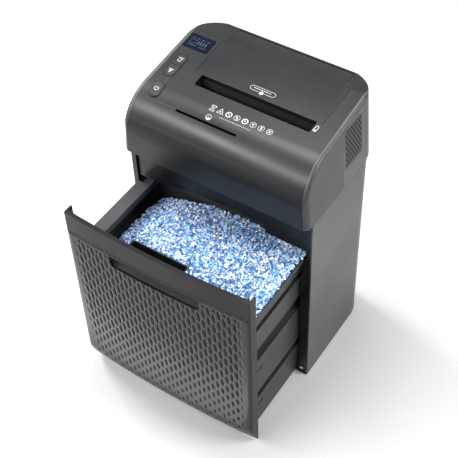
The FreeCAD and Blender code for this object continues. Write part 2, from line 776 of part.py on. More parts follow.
def cutter_blade(x, turn):
    """One cross-cutting disc: six hooked teeth round a plain rim."""
    hooks = 6
    ramp = 5
    points = []
    for k in range(hooks):
        for i in range(ramp):
            angle = turn + 2 * math.pi * (k + i / ramp) / hooks
            radius = CUTTER_R - 2.2 * (1 - i / (ramp - 1)) ** 2
            points.append(V(x, radius * math.cos(angle), radius * math.sin(angle)))
    wire = Part.makePolygon(points + points[:1])
    return Part.Face(wire).extrude(V(CUTTER_T, 0, 0))


def cutter(axis, first_x):
    """Solid cutting cylinder: hexagonal core, blades and turned journals."""
    half = PLATE_HALF - 2
    hexagon = [V(BLOCK_X - half, CUTTER_CORE_R * math.cos(a), CUTTER_CORE_R * math.sin(a))
               for a in [math.pi / 3 * i for i in range(6)]]
    core = Part.Face(Part.makePolygon(hexagon + hexagon[:1])).extrude(V(2 * half, 0, 0))
    blades = [cutter_blade(first_x + i * CUTTER_PITCH, 0.22 * i) for i in range(CUTTER_COUNT)]
    body = core.multiFuse(blades)
    body.translate(V(0, axis[0], axis[1]))
    return body


CUT_SPAN = (CUTTER_COUNT - 1) * CUTTER_PITCH + CUTTER_T
FIRST_BLADE = BLOCK_X - CUT_SPAN / 2


def cutter_rear():
    body = cutter(CUT_REAR, FIRST_BLADE - CUTTER_PITCH / 4)
    left = rod_x(TIMING_X, BLOCK_X - PLATE_HALF + 2, CUT_REAR, JOURNAL_R)
    right = rod_x(BLOCK_X + PLATE_HALF - 2, STAGE[0] + GEAR_T, CUT_REAR, JOURNAL_R)
    return body.multiFuse([left, right])


def cutter_front():
    body = cutter(CUT_FRONT, FIRST_BLADE + CUTTER_PITCH / 4)
    left = rod_x(TIMING_X, BLOCK_X - PLATE_HALF + 2, CUT_FRONT, JOURNAL_R)
    right = rod_x(BLOCK_X + PLATE_HALF - 2, PLATE_R + PLATE_T + 2, CUT_FRONT, JOURNAL_R)
    return body.multiFuse([left, right])


def comb(axis, first_x, outward):
    """Stripper comb: fingers that reach between the blades and keep them clear."""
    thick = 1.9
    near = axis[0] + outward * (CUTTER_CORE_R + 1.5)
    far = axis[0] + outward * (CUTTER_R + 4)
    y0, y1 = sorted((near, far))
    fingers = []
    for i in range(CUTTER_COUNT - 1):
        gap_middle = first_x + i * CUTTER_PITCH + (CUTTER_PITCH + CUTTER_T) / 2
        fingers.append(box(gap_middle - thick / 2, gap_middle + thick / 2, y0, y1, 452, 486))
    b0, b1 = sorted((far - outward * 1.5, far + outward * 2))
    bar = box(PLATE_L, PLATE_R, b0, b1, 456, 482)
    return bar.multiFuse(fingers)


def tie_rods():
    spots = ((-60, 443), (-60, 508), (62, 443), (68, 506))
    return [rod_x(PLATE_L, PLATE_R, spot, 4) for spot in spots]


def bored_gear(axis, teeth, module, phase, x0, bore):
    wheel = gear(axis, teeth, module, phase, x0, x0 + GEAR_T)
    return wheel.cut(rod_x(x0 - 1, x0 + GEAR_T + 1, axis, bore))


def stub_axle(axis, end):
    """Fixed axle riveted to the side plate for an idle gear."""
    if end > BLOCK_X:
        pin = rod_x(PLATE_R + PLATE_T, end, axis, 3)
        return pin.fuse(rod_x(PLATE_R + PLATE_T, PLATE_R + PLATE_T + 2, axis, 5))
    pin = rod_x(end, PLATE_L - PLATE_T, axis, 3)
    return pin.fuse(rod_x(PLATE_L - PLATE_T - 2, PLATE_L - PLATE_T, axis, 5))


def double_gear(axis, big, pinion):
    """Large wheel and pinion moulded as one, free on its axle."""
    parts = []
    for teeth, module, phase, x0 in (big, pinion):
        parts.append(gear(axis, teeth, module, phase, x0, x0 + GEAR_T))
    x_from = min(big[3], pinion[3]) + GEAR_T
    parts.append(rod_x(x_from, x_from + GEAR_GAP, axis, 6))
    solid = parts[0].multiFuse(parts[1:])
    return solid.cut(rod_x(x_from - 20, x_from + 20, axis, 3 + RUNNING))


def motor_body():
    """Motor can with end caps, bolted flat to the right side plate."""
    can = rod_x(PLATE_R - 96, PLATE_R - 10, MOTOR_AXIS, MOTOR_R)
    cap = rod_x(PLATE_R - 10, PLATE_R, MOTOR_AXIS, MOTOR_R - 3)
    back = rod_x(PLATE_R - 104, PLATE_R - 96, MOTOR_AXIS, MOTOR_R - 6)
    bore = rod_x(PLATE_R - 90, PLATE_R + 1, MOTOR_AXIS, 4 + RUNNING)
    return can.fuse(cap).fuse(back).cut(bore)


def motor_shaft():
    shaft = rod_x(PLATE_R - 88, STAGE[2] + GEAR_T, MOTOR_AXIS, 4)
    pinion = gear(MOTOR_AXIS, PINION_TEETH, MOTOR_M, MOTOR_PHASE, STAGE[2], STAGE[2] + GEAR_T)
    return shaft.fuse(pinion)


def feed_shaft():
    return rod_x(TIMING_X, PLATE_R + PLATE_T + 1.5, FEED_AXIS, 3.5)


def feed_rollers():
    return [rod_x(x - 10, x + 10, FEED_AXIS, FEED_R).cut(rod_x(x - 11, x + 11, FEED_AXIS, 3.5))
            for x in ROLLER_X]


# ---------------------------------------------------------------- rear fittings and switches

def power_inlet():
    """Three-pin appliance inlet, set into the rear cover."""
    z = REAR_FITTING_Z
    body = box(INLET_X - 13.6, INLET_X + 13.6, 100, 126, z - 11.1, z + 11.1)
    flange = slab_y(rectangle(INLET_X - 17, INLET_X + 17, z - 14, z + 14, 2), 126, 127.8)
    socket = slab_y([(INLET_X - 10.5, z - 7, 1), (INLET_X + 10.5, z - 7, 1), (INLET_X + 10.5, z + 3, 1),
                     (INLET_X + 6, z + 8, 1), (INLET_X - 6, z + 8, 1), (INLET_X - 10.5, z + 3, 1)],
                    108, 130)
    shape = body.fuse(flange).cut(socket)
    for x, dz in ((-6, -2), (6, -2), (0, 3)):
        shape = shape.fuse(box(INLET_X + x - 1, INLET_X + x + 1, 107, 122, z + dz - 2, z + dz + 2))
    return shape


def switch_housing():
    z = REAR_FITTING_Z
    body = box(SWITCH_X - 7.6, SWITCH_X + 7.6, 104, 126, z - 11.1, z + 11.1)
    flange = slab_y(rectangle(SWITCH_X - 10, SWITCH_X + 10, z - 14, z + 14, 1.5), 126, 127.8)
    well = box(SWITCH_X - 5.8, SWITCH_X + 5.8, 112, 130, z - 9.6, z + 9.6)
    return body.fuse(flange).cut(well).cut(rod_x(SWITCH_X - 7, SWITCH_X + 7, ROCKER_AXIS, 1.2 + RUNNING))


def switch_rocker():
    """Rocker in its on position: the lower half stands proud."""
    y, z = ROCKER_AXIS
    paddle = slab_x([(y - 5, z - 5, 1), (y + 5.4, z - 7.4, 1), (y + 3.4, z, 0), (y + 2.2, z + 7.4, 1),
                     (y - 5, z + 5, 1)], SWITCH_X - 5.4, SWITCH_X + 5.4)
    return paddle.fuse(rod_x(SWITCH_X - 6.6, SWITCH_X + 6.6, ROCKER_AXIS, 1.2))


def drawer_switch():
    """Safety switch that the closed drawer presses, on the underside of the head."""
    body = box(-150, -130, -96, -84, 418, 431)
    return body.fuse(box(-148, -132, -100, -96, 420, 424))


# ---------------------------------------------------------------- drawer

PANEL_ARC_R = (PANEL_HALF_W ** 2 + PANEL_SAG ** 2) / (2 * PANEL_SAG)
PANEL_CENTRE_Y = PANEL_FRONT + PANEL_ARC_R
def swept_front(front, low, high, curl, depth):
    """Solid of revolution behind the curved front; its foot curls back."""
    outer = PANEL_ARC_R - front
    drop = CURL_START - low
    curl_r = (drop ** 2 + curl ** 2) / (2 * curl)
    turn = math.asin(drop / curl_r) / 2
    crown = V(outer - curl_r * (1 - math.cos(turn)), 0, CURL_START - curl_r * math.sin(turn))
    toe = V(outer - curl, 0, low)
    edges = [Part.LineSegment(V(outer - depth, 0, low), toe).toShape(),
             Part.Arc(toe, crown, V(outer, 0, CURL_START)).toShape(),
             Part.LineSegment(V(outer, 0, CURL_START), V(outer, 0, high)).toShape(),
             Part.LineSegment(V(outer, 0, high), V(outer - depth, 0, high)).toShape(),
             Part.LineSegment(V(outer - depth, 0, high), V(outer - depth, 0, low)).toShape()]
    face = Part.Face(Part.Wire(edges))
    span = 20
    face.rotate(V(0, 0, 0), Z_AXIS, -90 - span / 2)
    swept = face.revolve(V(0, 0, 0), Z_AXIS, span)
    swept.translate(V(0, PANEL_CENTRE_Y, 0))
    return swept


def panel_corners(half, radius, low, high):
    """Plan that rounds the two front corners of the drawer front."""
    front = PANEL_FRONT + PANEL_SAG - 1.2
    return slab_z([(-half, front, radius), (-half + 30, PANEL_FRONT - 4, 0),
                   (half - 30, PANEL_FRONT - 4, 0), (half, front, radius),
                   (half, PANEL_BACK, 0), (-half, PANEL_BACK, 0)], low, high)


def handle_cut(grow, y0, y1):
    half = HANDLE_HALF_W + grow
    return slab_y([(-half, HANDLE_BOTTOM - grow, 11), (half, HANDLE_BOTTOM - grow, 11),
                   (half, HANDLE_TOP + grow, 2), (-half, HANDLE_TOP + grow, 2)], y0, y1)


def drawer_panel():
    """Hollow drawer front: curved skin, side returns, top strip and curled foot."""
    skin = 3.0
    outer = swept_front(0, PANEL_BOTTOM, PANEL_TOP, CURL_BACK, 45)
    outer = outer.common(panel_corners(PANEL_HALF_W, 7, PANEL_BOTTOM - 1, PANEL_TOP + 1))
    inner = swept_front(skin, PANEL_BOTTOM + skin, PANEL_TOP - skin, CURL_BACK - 1, 60)
    inner = inner.common(box(skin - PANEL_HALF_W, PANEL_HALF_W - skin, -200, -90, 0, 500))
    panel = outer.cut(inner)
    open_top = swept_front(8, PANEL_TOP - 60, PANEL_TOP + 5, 1, 60)
    keep_in = PANEL_HALF_W - skin
    panel = panel.cut(open_top.common(box(-keep_in, keep_in, -200, -90, PANEL_TOP - 5, 500)))
    return panel.cut(handle_cut(2.4, -160, -120))


def drawer_facing():
    """Thin decorative facing over the lower part of the drawer front."""
    thick = 1.5
    outer = swept_front(-thick, PANEL_BOTTOM + 3, BAND_BOTTOM, CURL_BACK - 1, 20)
    inner = swept_front(-0.02, PANEL_BOTTOM - 1, BAND_BOTTOM + 1, CURL_BACK, 40)
    rim = box(-PANEL_HALF_W + 3, PANEL_HALF_W - 3, -200, -90, 0, 500)
    return outer.common(rim).cut(inner).cut(handle_cut(0, -160, -120))


def handle_cup():
    """Finger recess behind the front, under the plain band."""
    cup = handle_cut(2.2, PANEL_FRONT + 4.5, -122)
    hollow = handle_cut(0, PANEL_FRONT - 2, -124)
    return cup.cut(hollow)


def inner_panel():
    """Flat plate that closes the back of the drawer front and carries the bin."""
    half = PILLAR_X[0] - 2.5
    return box(-half, half, PANEL_BACK - 3, PANEL_BACK, 14, 338)


def drawer_hooks():
    """Small catches behind the top corners of the drawer front."""
    pieces = []
    for x in (5.5 - PANEL_HALF_W, PANEL_HALF_W - 11.5):
        catch = box(x, x + 6, -131, -128, PANEL_TOP - 8, PANEL_TOP - 1)
        pieces.append(catch.fuse(box(x + 1.5, x + 4.5, -128, -124, PANEL_TOP - 4, PANEL_TOP - 1)))
    return pieces


def bin_section(inset):
    """Right half of the bin's section and its mirror, with the side grooves."""
    half = BIN_HALF_W - inset
    right = [(half, BIN_BOTTOM + inset, 6 - inset)]
    for low, high in GROOVES:
        deep = half - GROOVE_DEPTH
        right += [(half, low - inset, 0), (deep, low - inset, 0),
                  (deep, high + inset, 0), (half, high + inset, 0)]
    right.append((half, RIM_Z - 2, 0))
    left = [(-u, v, r) for u, v, r in reversed(right)]
    return right + left


def bin_plan(inset, half):
    rear_r = 25 - inset
    return [(-half, BIN_FRONT + inset, 0), (half, BIN_FRONT + inset, 0),
            (half, BIN_REAR - inset, rear_r), (-half, BIN_REAR - inset, rear_r)]


def waste_bin():
    """Pull-out bin with grooved sides and a broad rim."""
    outer = slab_y(bin_section(0), BIN_FRONT, BIN_REAR)
    outer = outer.common(slab_z(bin_plan(0, BIN_HALF_W), 0, RIM_Z))
    inner = slab_y(bin_section(BIN_WALL), BIN_FRONT + BIN_WALL, BIN_REAR - BIN_WALL)
    inner = inner.common(slab_z(bin_plan(BIN_WALL, BIN_HALF_W - BIN_WALL), 0, RIM_Z + 9))
    shell = outer.cut(inner)
    rim_y = 48
    wide = slab_z(rectangle(-RIM_OUT, RIM_OUT, BIN_FRONT, rim_y, 3), RIM_Z - 4, RIM_Z)
    tail = slab_z(bin_plan(0, BIN_HALF_W), RIM_Z - 4, RIM_Z)
    mouth = slab_z(rectangle(-RIM_IN, RIM_IN, BIN_FRONT + 2, BIN_REAR - 12, 8), RIM_Z - 20, RIM_Z + 5)
    rim = wide.fuse(tail).cut(mouth)
    lip_out = slab_z(rectangle(-RIM_IN - 2, RIM_IN + 2, BIN_FRONT + 2, BIN_REAR - 10, 8), RIM_Z - 14, RIM_Z)
    lip = lip_out.cut(mouth)
    body = shell.fuse(rim).fuse(lip)
    for side in (-1, 1):
        for z in (63, 167):
            x0, x1 = sorted((side * (BIN_HALF_W - 1.2), side * (BIN_HALF_W + 1)))
            body = body.cut(box(x0, x1, -86, -70, z - 3, z + 3))
    return body.removeSplitter()


def disc_bin():
    """Narrow bin for disc pieces, hung behind the drawer front."""
    x0, x1 = DISC_BIN_X
    y0, y1 = DISC_BIN_Y
    low = 252
    outer = box(x0, x1, y0, y1, low, RIM_Z - 0.5)
    inner = slab_z(rectangle(x0 + 2, x1 - 2, y0 + 2, y1 - 2, 4), low + 2, RIM_Z + 5)
    return outer.cut(inner)


def paper_heap():
    """Plain closed solid of the shredded paper, mounded and higher on the right."""
    low = BIN_BOTTOM + BIN_WALL + 0.5
    side = BIN_HALF_W - GROOVE_DEPTH - BIN_WALL - 1
    pit = slab_z([(-side, DISC_BIN_Y[1] + 2, 5), (DISC_BIN_X[1] + 2, DISC_BIN_Y[1] + 2, 0),
                  (DISC_BIN_X[1] + 2, BIN_FRONT + 4, 0), (side, BIN_FRONT + 4, 5),
                  (side, BIN_REAR - 4, 22), (-side, BIN_REAR - 4, 22)], low, 330)
    crown = slab_z([(-RIM_IN + 3, DISC_BIN_Y[1] + 2, 5), (DISC_BIN_X[1] + 2, DISC_BIN_Y[1] + 2, 0),
                    (DISC_BIN_X[1] + 2, BIN_FRONT + 4, 0), (RIM_IN - 3, BIN_FRONT + 4, 5),
                    (RIM_IN - 3, BIN_REAR - 14, 22), (-RIM_IN + 3, BIN_REAR - 14, 22)], 329, 352)
    dome_r = 460
    dome = Part.makeSphere(dome_r, V(55, -20, 351 - dome_r))
    return pit.fuse(crown).common(dome)


# ---------------------------------------------------------------- assembly

def build_cabinet():
    save("cabinet_shell", cabinet_shell())
    save("base_plate", base_plate())
    pillar = front_pillar()
    screw = pillar_screw()
    rail = drawer_rail()
    rib = guide_rib()
    save("front_pillar_right", pillar)
    save("front_pillar_left", mirror_x(pillar))
    save("pillar_screws", screw, mirror_x(screw))
    save("drawer_runners_right", rail, rib)
    save("drawer_runners_left", mirror_x(rail), mirror_x(rib))
    save("front_apron", front_apron())


def build_head():
    save("head_top_cover", top_cover())
    cheek = cheek_panel()
    save("head_side_right", cheek)
    save("head_side_left", mirror_x(cheek))
    save("head_rear_cover", rear_cover())
    grille = vent_grille()
    save("vent_grille_right", grille)
    save("vent_grille_left", mirror_x(grille))
    save("head_base", head_base())
    save("feed_tray", feed_tray())
    save("manual_throat", manual_throat())
    save("disc_throat", disc_throat())
    save("lid", lid())
    save("lid_hinge_pins", *hinge_pins())
    save("lid_hinge_brackets", *hinge_brackets())
    save("lid_press_pads", *press_pads())


def build_controls():
    save("display_window", display_plate(0, -1.6, 0.1))
    save("key_bezels", key_bezel(PILL), key_bezel(POWER_KEY))
    save("reverse_key", half_pill(True))
    save("forward_key", half_pill(False))
    save("power_key", power_key())
    save("control_board", control_board(), display_module())
    save("power_board", power_board())
    save("power_inlet", power_inlet())
    save("mains_switch_housing", switch_housing())
    save("mains_switch_rocker", switch_rocker())
    save("drawer_safety_switch", drawer_switch())


def build_mechanism():
    save("side_plate_right", right_plate())
    save("side_plate_left", left_plate())
    save("shaft_bushes", *bushes())
    save("tie_rods", *tie_rods())
    save("cutter_rear", cutter_rear())
    save("cutter_front", cutter_front())
    save("stripper_combs", comb(CUT_REAR, FIRST_BLADE - CUTTER_PITCH / 4, 1),
         comb(CUT_FRONT, FIRST_BLADE + CUTTER_PITCH / 4, -1))
    save("timing_gear_rear", bored_gear(CUT_REAR, TIMING_TEETH, TIMING_M, TIMING_REAR_PHASE,
                                        TIMING_X, JOURNAL_R))
    save("timing_gear_front", bored_gear(CUT_FRONT, TIMING_TEETH, TIMING_M, TIMING_FRONT_PHASE,
                                         TIMING_X, JOURNAL_R))
    save("carrier_gear", bored_gear(CARRIER_AXIS, CARRIER_TEETH, TIMING_M, CARRIER_PHASE,
                                    TIMING_X, 3 + RUNNING))
    save("feed_gear", bored_gear(FEED_AXIS, TIMING_TEETH, TIMING_M, FEED_PHASE, TIMING_X, 3.5))
    save("feed_shaft", feed_shaft())
    save("feed_rollers", *feed_rollers())
    save("final_gear", bored_gear(CUT_REAR, FINAL_TEETH, FINAL_M, FINAL_PHASE, STAGE[0], JOURNAL_R))
    save("second_reduction_gear",
         double_gear(SECOND_AXIS, (SECOND_TEETH, MIDDLE_M, SECOND_PHASE, STAGE[1]),
                     (PINION_TEETH, FINAL_M, THIRD_PHASE, STAGE[0])))
    save("first_reduction_gear",
         double_gear(FIRST_AXIS, (FIRST_TEETH, MOTOR_M, FIRST_PHASE, STAGE[2]),
                     (PINION_TEETH, MIDDLE_M, SECOND_PINION_PHASE, STAGE[1])))
    save("gear_axles", stub_axle(SECOND_AXIS, STAGE[1] + GEAR_T + 1),
         stub_axle(FIRST_AXIS, STAGE[2] + GEAR_T + 1), stub_axle(CARRIER_AXIS, TIMING_X - 1))
    save("motor_body", motor_body())
    save("motor_shaft", motor_shaft())


def build_drawer():
    save("drawer_panel", pulled_out(fuse([drawer_panel()] + drawer_hooks())))
    save("drawer_facing", pulled_out(drawer_facing()))
    save("handle_cup", pulled_out(handle_cup()))
    save("drawer_inner_panel", pulled_out(inner_panel()))
    save("waste_bin", pulled_out(waste_bin()))
    save("disc_bin", pulled_out(disc_bin()))
    save("shredded_paper", pulled_out(paper_heap()))


os.makedirs("parts", exist_ok=True)
build_cabinet()
build_head()
build_controls()
build_mechanism()
build_drawer()
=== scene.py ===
import math
import random

import bpy
from mathutils import Matrix, Vector
from mathutils import noise


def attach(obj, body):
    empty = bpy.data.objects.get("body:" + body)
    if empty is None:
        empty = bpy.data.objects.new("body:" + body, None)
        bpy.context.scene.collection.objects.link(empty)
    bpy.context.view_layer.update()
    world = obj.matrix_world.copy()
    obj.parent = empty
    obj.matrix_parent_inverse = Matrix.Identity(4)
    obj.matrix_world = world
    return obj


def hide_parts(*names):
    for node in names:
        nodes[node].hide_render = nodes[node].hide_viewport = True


# A floor-standing paper shredder with its waste drawer pulled out, dressed round the packed
# CAD frame. Lengths in this script are in millimetres and become metres through MM.

MM = 0.001
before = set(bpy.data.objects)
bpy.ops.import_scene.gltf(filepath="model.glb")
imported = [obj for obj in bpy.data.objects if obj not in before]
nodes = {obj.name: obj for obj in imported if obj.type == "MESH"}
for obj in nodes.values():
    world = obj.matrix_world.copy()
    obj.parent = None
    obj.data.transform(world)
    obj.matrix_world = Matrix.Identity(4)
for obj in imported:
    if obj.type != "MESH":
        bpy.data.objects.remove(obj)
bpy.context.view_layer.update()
rng = random.Random(7)

# Head surface, the same rule as the CAD profile
ROLL_Y, ROLL_Z, ROLL_R = -58.0, 476.0, 76.0
TOP_SLOPE = math.radians(6.8)
RIDGE_Y = 76.0
REAR_SLOPE = 0.1

# Drawer front, pulled out
TRAVEL = 171.0
PANEL_HALF_W, PANEL_SAG = 187.0, 7.5
PANEL_FRONT = -143.5 - TRAVEL
PANEL_ARC_R = (PANEL_HALF_W ** 2 + PANEL_SAG ** 2) / (2 * PANEL_SAG)
PANEL_CENTRE_Y = PANEL_FRONT + PANEL_ARC_R
FACING_LOW, FACING_HIGH = 9.0, 381.0
CURL_START, CURL_BACK = 62.0, 18.0
HANDLE_HALF_W, HANDLE_LOW, HANDLE_HIGH = 92.0, 351.0, 377.0
HANDLE_CORNER_R = 11.0


def top_z(y):
    tangent = ROLL_Y - ROLL_R * math.sin(TOP_SLOPE)
    if y < tangent:
        return ROLL_Z + math.sqrt(max(ROLL_R ** 2 - (y - ROLL_Y) ** 2, 0))
    flat = ROLL_Z + ROLL_R * math.cos(TOP_SLOPE)
    rise = flat + (min(y, RIDGE_Y) - tangent) * math.tan(TOP_SLOPE)
    return rise - max(y - RIDGE_Y, 0) * REAR_SLOPE


def head_normal(y):
    tilt = math.atan((top_z(y + 0.01) - top_z(y - 0.01)) / 0.02)
    return Vector((0, -math.sin(tilt), math.cos(tilt)))


# ---------------------------------------------------------------- meshes

def make_object(name, verts, faces, material, smooth=False):
    """A mesh object from millimetre vertices."""
    mesh = bpy.data.meshes.new(name)
    mesh.from_pydata([(v[0] * MM, v[1] * MM, v[2] * MM) for v in verts], [], faces)
    mesh.validate()
    mesh.update()
    if smooth:
        mesh.shade_smooth()
    obj = bpy.data.objects.new(name, mesh)
    bpy.context.scene.collection.objects.link(obj)
    mesh.materials.append(material)
    return obj


class Sheet:
    """Collects flat printed shapes, given as outlines in (u, v) about a centre, as thin slabs."""

    def __init__(self, place, thick):
        self.place = place
        self.thick = thick
        self.verts = []
        self.faces = []

    def polygon(self, points):
        """One convex outline, counter-clockwise."""
        base = len(self.verts)
        count = len(points)
        for lift in (0.0, self.thick):
            for u, v in points:
                self.verts.append(self.place(u, v, lift))
        self.faces.append(tuple(base + count + i for i in range(count)))
        for i in range(count):
            j = (i + 1) % count
            self.faces.append((base + i, base + j, base + count + j, base + count + i))

    def bar(self, start, end, width):
        du, dv = end[0] - start[0], end[1] - start[1]
        size = math.hypot(du, dv)
        nu, nv = -dv / size * width / 2, du / size * width / 2
        self.polygon([(start[0] - nu, start[1] - nv), (end[0] - nu, end[1] - nv),
                      (end[0] + nu, end[1] + nv), (start[0] + nu, start[1] + nv)])

    def disc(self, u, v, radius, steps=20):
        turn = 2 * math.pi / steps
        self.polygon([(u + radius * math.cos(i * turn), v + radius * math.sin(i * turn))
                      for i in range(steps)])

    def arc(self, u, v, radius, width, start=0.0, end=360.0, steps=28):
        for i in range(steps):
            a = math.radians(start + (end - start) * i / steps)
            b = math.radians(start + (end - start) * (i + 1) / steps)
            near, far = radius - width / 2, radius + width / 2
            self.polygon([(u + near * math.cos(a), v + near * math.sin(a)),
                          (u + far * math.cos(a), v + far * math.sin(a)),
                          (u + far * math.cos(b), v + far * math.sin(b)),
                          (u + near * math.cos(b), v + near * math.sin(b))])

    def loop(self, points, width):
        for i, start in enumerate(points):
            self.bar(start, points[(i + 1) % len(points)], width)

    def build(self, name, material):
        return make_object(name, self.verts, self.faces, material)


def head_place(x, y, lift0=0.0, turn=0.0):
    """Maps flat shapes onto the head about the point (x, y)."""
    ct, st = math.cos(turn), math.sin(turn)

    def place(u, v, lift):
        px = x + u * ct - v * st
        py = y + (u * st + v * ct) * head_normal(y).z
        n = head_normal(py)
        return Vector((px, py, top_z(py))) + n * (lift0 + lift)
    return place


# ---------------------------------------------------------------- materials

MOTTLE_SPREAD = 0.12
EDGE_POINTINESS = (0.515, 0.56)


def nodes_of(name):
    material = bpy.data.materials.new(name)
    material.use_nodes = True
    tree = material.node_tree
    shader = tree.nodes["Principled BSDF"]
    return material, tree, shader


def texture_space(tree):
    coords = tree.nodes.new("ShaderNodeTexCoord")
    mapping = tree.nodes.new("ShaderNodeMapping")
    tree.links.new(coords.outputs["Object"], mapping.inputs["Vector"])
    return mapping.outputs["Vector"]


def noise_node(tree, vector, scale, detail=3.0, rough=0.55):
    node = tree.nodes.new("ShaderNodeTexNoise")
    node.inputs["Scale"].default_value = scale
    node.inputs["Detail"].default_value = detail
    node.inputs["Roughness"].default_value = rough
    tree.links.new(vector, node.inputs["Vector"])
    return node.outputs["Fac"]


def ramp(tree, value, stops, mode="LINEAR"):
    node = tree.nodes.new("ShaderNodeValToRGB")
    node.color_ramp.interpolation = mode
    marks = node.color_ramp.elements
    while len(marks) < len(stops):
        marks.new(0.5)
    for mark, (place, colour) in zip(marks, stops):
        mark.position = place
        mark.color = (*colour, 1) if len(colour) == 3 else colour
    tree.links.new(value, node.inputs["Fac"])
    return node.outputs["Color"]


def to_range(tree, value, low, high, from_low=0.3, from_high=0.7):
    node = tree.nodes.new("ShaderNodeMapRange")
    node.inputs["From Min"].default_value = from_low
    node.inputs["From Max"].default_value = from_high
    node.inputs["To Min"].default_value = low
    node.inputs["To Max"].default_value = high
    tree.links.new(value, node.inputs["Value"])
    return node.outputs["Result"]


def bump(tree, shader, height, strength, distance):
    node = tree.nodes.new("ShaderNodeBump")
    node.inputs["Strength"].default_value = strength
    node.inputs["Distance"].default_value = distance
    tree.links.new(height, node.inputs["Height"])
    tree.links.new(node.outputs["Normal"], shader.inputs["Normal"])


def mixed(tree, factor, first, second):
    """Mixes two colours, each a colour or a socket, by a factor socket."""
    node = tree.nodes.new("ShaderNodeMix")
    node.data_type = "RGBA"
    tree.links.new(factor, node.inputs["Factor"])
    for key, value in (("A", first), ("B", second)):
        socket = [s for s in node.inputs if s.name == key and s.type == "RGBA"][0]
        if hasattr(value, "links"):
            tree.links.new(value, socket)
        else:
            socket.default_value = (*value, 1)
    return [s for s in node.outputs if s.type == "RGBA"][0]


def edge_mask(tree):
    """Bright where the surface is strongly convex, for rubbed edges."""
    geometry = tree.nodes.new("ShaderNodeNewGeometry")
    return to_range(tree, geometry.outputs["Pointiness"], 0.0, 1.0, *EDGE_POINTINESS)


def plastic(name, colour, roughness, grain=1400.0, grain_bump=0.12, spread=0.06, worn=1.9,
            specular=0.5):
    """Moulded plastic: fine spark-eroded grain, faint mottling, handling marks, rubbed edges."""
    material, tree, shader = nodes_of(name)
    space = texture_space(tree)
    mottle = noise_node(tree, space, 26.0, 4.0)
    broad = noise_node(tree, space, 5.0, 2.0)
    fine = noise_node(tree, space, grain, 2.0, 0.5)
    dark = tuple(c * (1 - MOTTLE_SPREAD) for c in colour)
    light = tuple(c * (1 + MOTTLE_SPREAD) for c in colour)
    base = ramp(tree, mottle, [(0.3, dark), (0.7, light)])
    rubbed = tuple(min(1.0, c * worn) for c in colour)
    colour_out = mixed(tree, edge_mask(tree), base, rubbed)
    tree.links.new(colour_out, shader.inputs["Base Color"])
    rough = to_range(tree, broad, roughness - spread, roughness + spread)
    tree.links.new(rough, shader.inputs["Roughness"])
    shader.inputs["Specular IOR Level"].default_value = specular
    bump(tree, shader, fine, grain_bump, 0.0004)
    return material


def pitted_plastic(name, colour, roughness, pit_shade_colour):
    """Satin plastic whose moulded hollows are dull, their colour darkened nearly to black as painted shade.
    """
    material, tree, shader = nodes_of(name)
    space = texture_space(tree)
    mottle = noise_node(tree, space, 26.0, 4.0)
    fine = noise_node(tree, space, 1800.0, 2.0, 0.5)
    pit = tree.nodes.new("ShaderNodeAttribute")
    pit.attribute_name = "pit"
    deep = to_range(tree, pit.outputs["Fac"], 0.0, 0.8, 0.15, 0.95)
    dark = tuple(c * 0.88 for c in colour)
    light = tuple(c * 1.12 for c in colour)
    base = ramp(tree, mottle, [(0.3, dark), (0.7, light)])
    rubbed = mixed(tree, edge_mask(tree), base, tuple(c * 1.5 for c in colour))
    # Painted shade: the colour darkens toward the near-black pit colour with hollow depth, for the shade
    # inside the hollows.
    tree.links.new(mixed(tree, deep, rubbed, pit_shade_colour), shader.inputs["Base Color"])
    tree.links.new(to_range(tree, deep, roughness, 0.7, 0.0, 1.0), shader.inputs["Roughness"])
    tree.links.new(to_range(tree, deep, 0.26, 0.14, 0.0, 1.0), shader.inputs["Specular IOR Level"])
    bump(tree, shader, fine, 0.05, 0.0004)
    return material


def metal(name, colour, roughness, stretch=(1.0, 60.0, 60.0), strength=0.08):
    """Ground or plated metal with fine lines along one direction."""
    material, tree, shader = nodes_of(name)
    coords = tree.nodes.new("ShaderNodeTexCoord")
    mapping = tree.nodes.new("ShaderNodeMapping")
    mapping.inputs["Scale"].default_value = stretch
    tree.links.new(coords.outputs["Object"], mapping.inputs["Vector"])
    lines = noise_node(tree, mapping.outputs["Vector"], 30.0, 4.0)
    dark = tuple(c * 0.8 for c in colour)
    tree.links.new(ramp(tree, lines, [(0.3, dark), (0.7, colour)]), shader.inputs["Base Color"])
    tree.links.new(to_range(tree, lines, roughness - 0.08, roughness + 0.1), shader.inputs["Roughness"])
    shader.inputs["Metallic"].default_value = 1.0
    bump(tree, shader, lines, strength, 0.0003)
    return material


def rubber(name, colour):
    material, tree, shader = nodes_of(name)
    space = texture_space(tree)
    speck = noise_node(tree, space, 600.0, 3.0)
    tree.links.new(ramp(tree, speck, [(0.3, tuple(c * 0.75 for c in colour)), (0.7, colour)]),
                   shader.inputs["Base Color"])
    tree.links.new(to_range(tree, speck, 0.72, 0.9), shader.inputs["Roughness"])
    bump(tree, shader, speck, 0.25, 0.0004)
    return material


def glazed_screen(name):
    """Dark blue display window, smooth, with a faint inner grid of cells."""
    material, tree, shader = nodes_of(name)
    space = texture_space(tree)
    cells = tree.nodes.new("ShaderNodeTexVoronoi")
    cells.inputs["Scale"].default_value = 420.0
    tree.links.new(space, cells.inputs["Vector"])
    glow = noise_node(tree, space, 30.0, 2.0)
    base = mixed(tree, glow, (0.003, 0.004, 0.011), (0.005, 0.007, 0.017))
    grid = to_range(tree, cells.outputs["Distance"], 0.0, 0.1, 0.0, 1.0)
    speckled = mixed(tree, grid, base, (0.006, 0.009, 0.02))
    tree.links.new(speckled, shader.inputs["Base Color"])
    tree.links.new(to_range(tree, glow, 0.14, 0.26), shader.inputs["Roughness"])
    shader.inputs["Specular IOR Level"].default_value = 0.12
    bump(tree, shader, glow, 0.02, 0.0003)
    return material


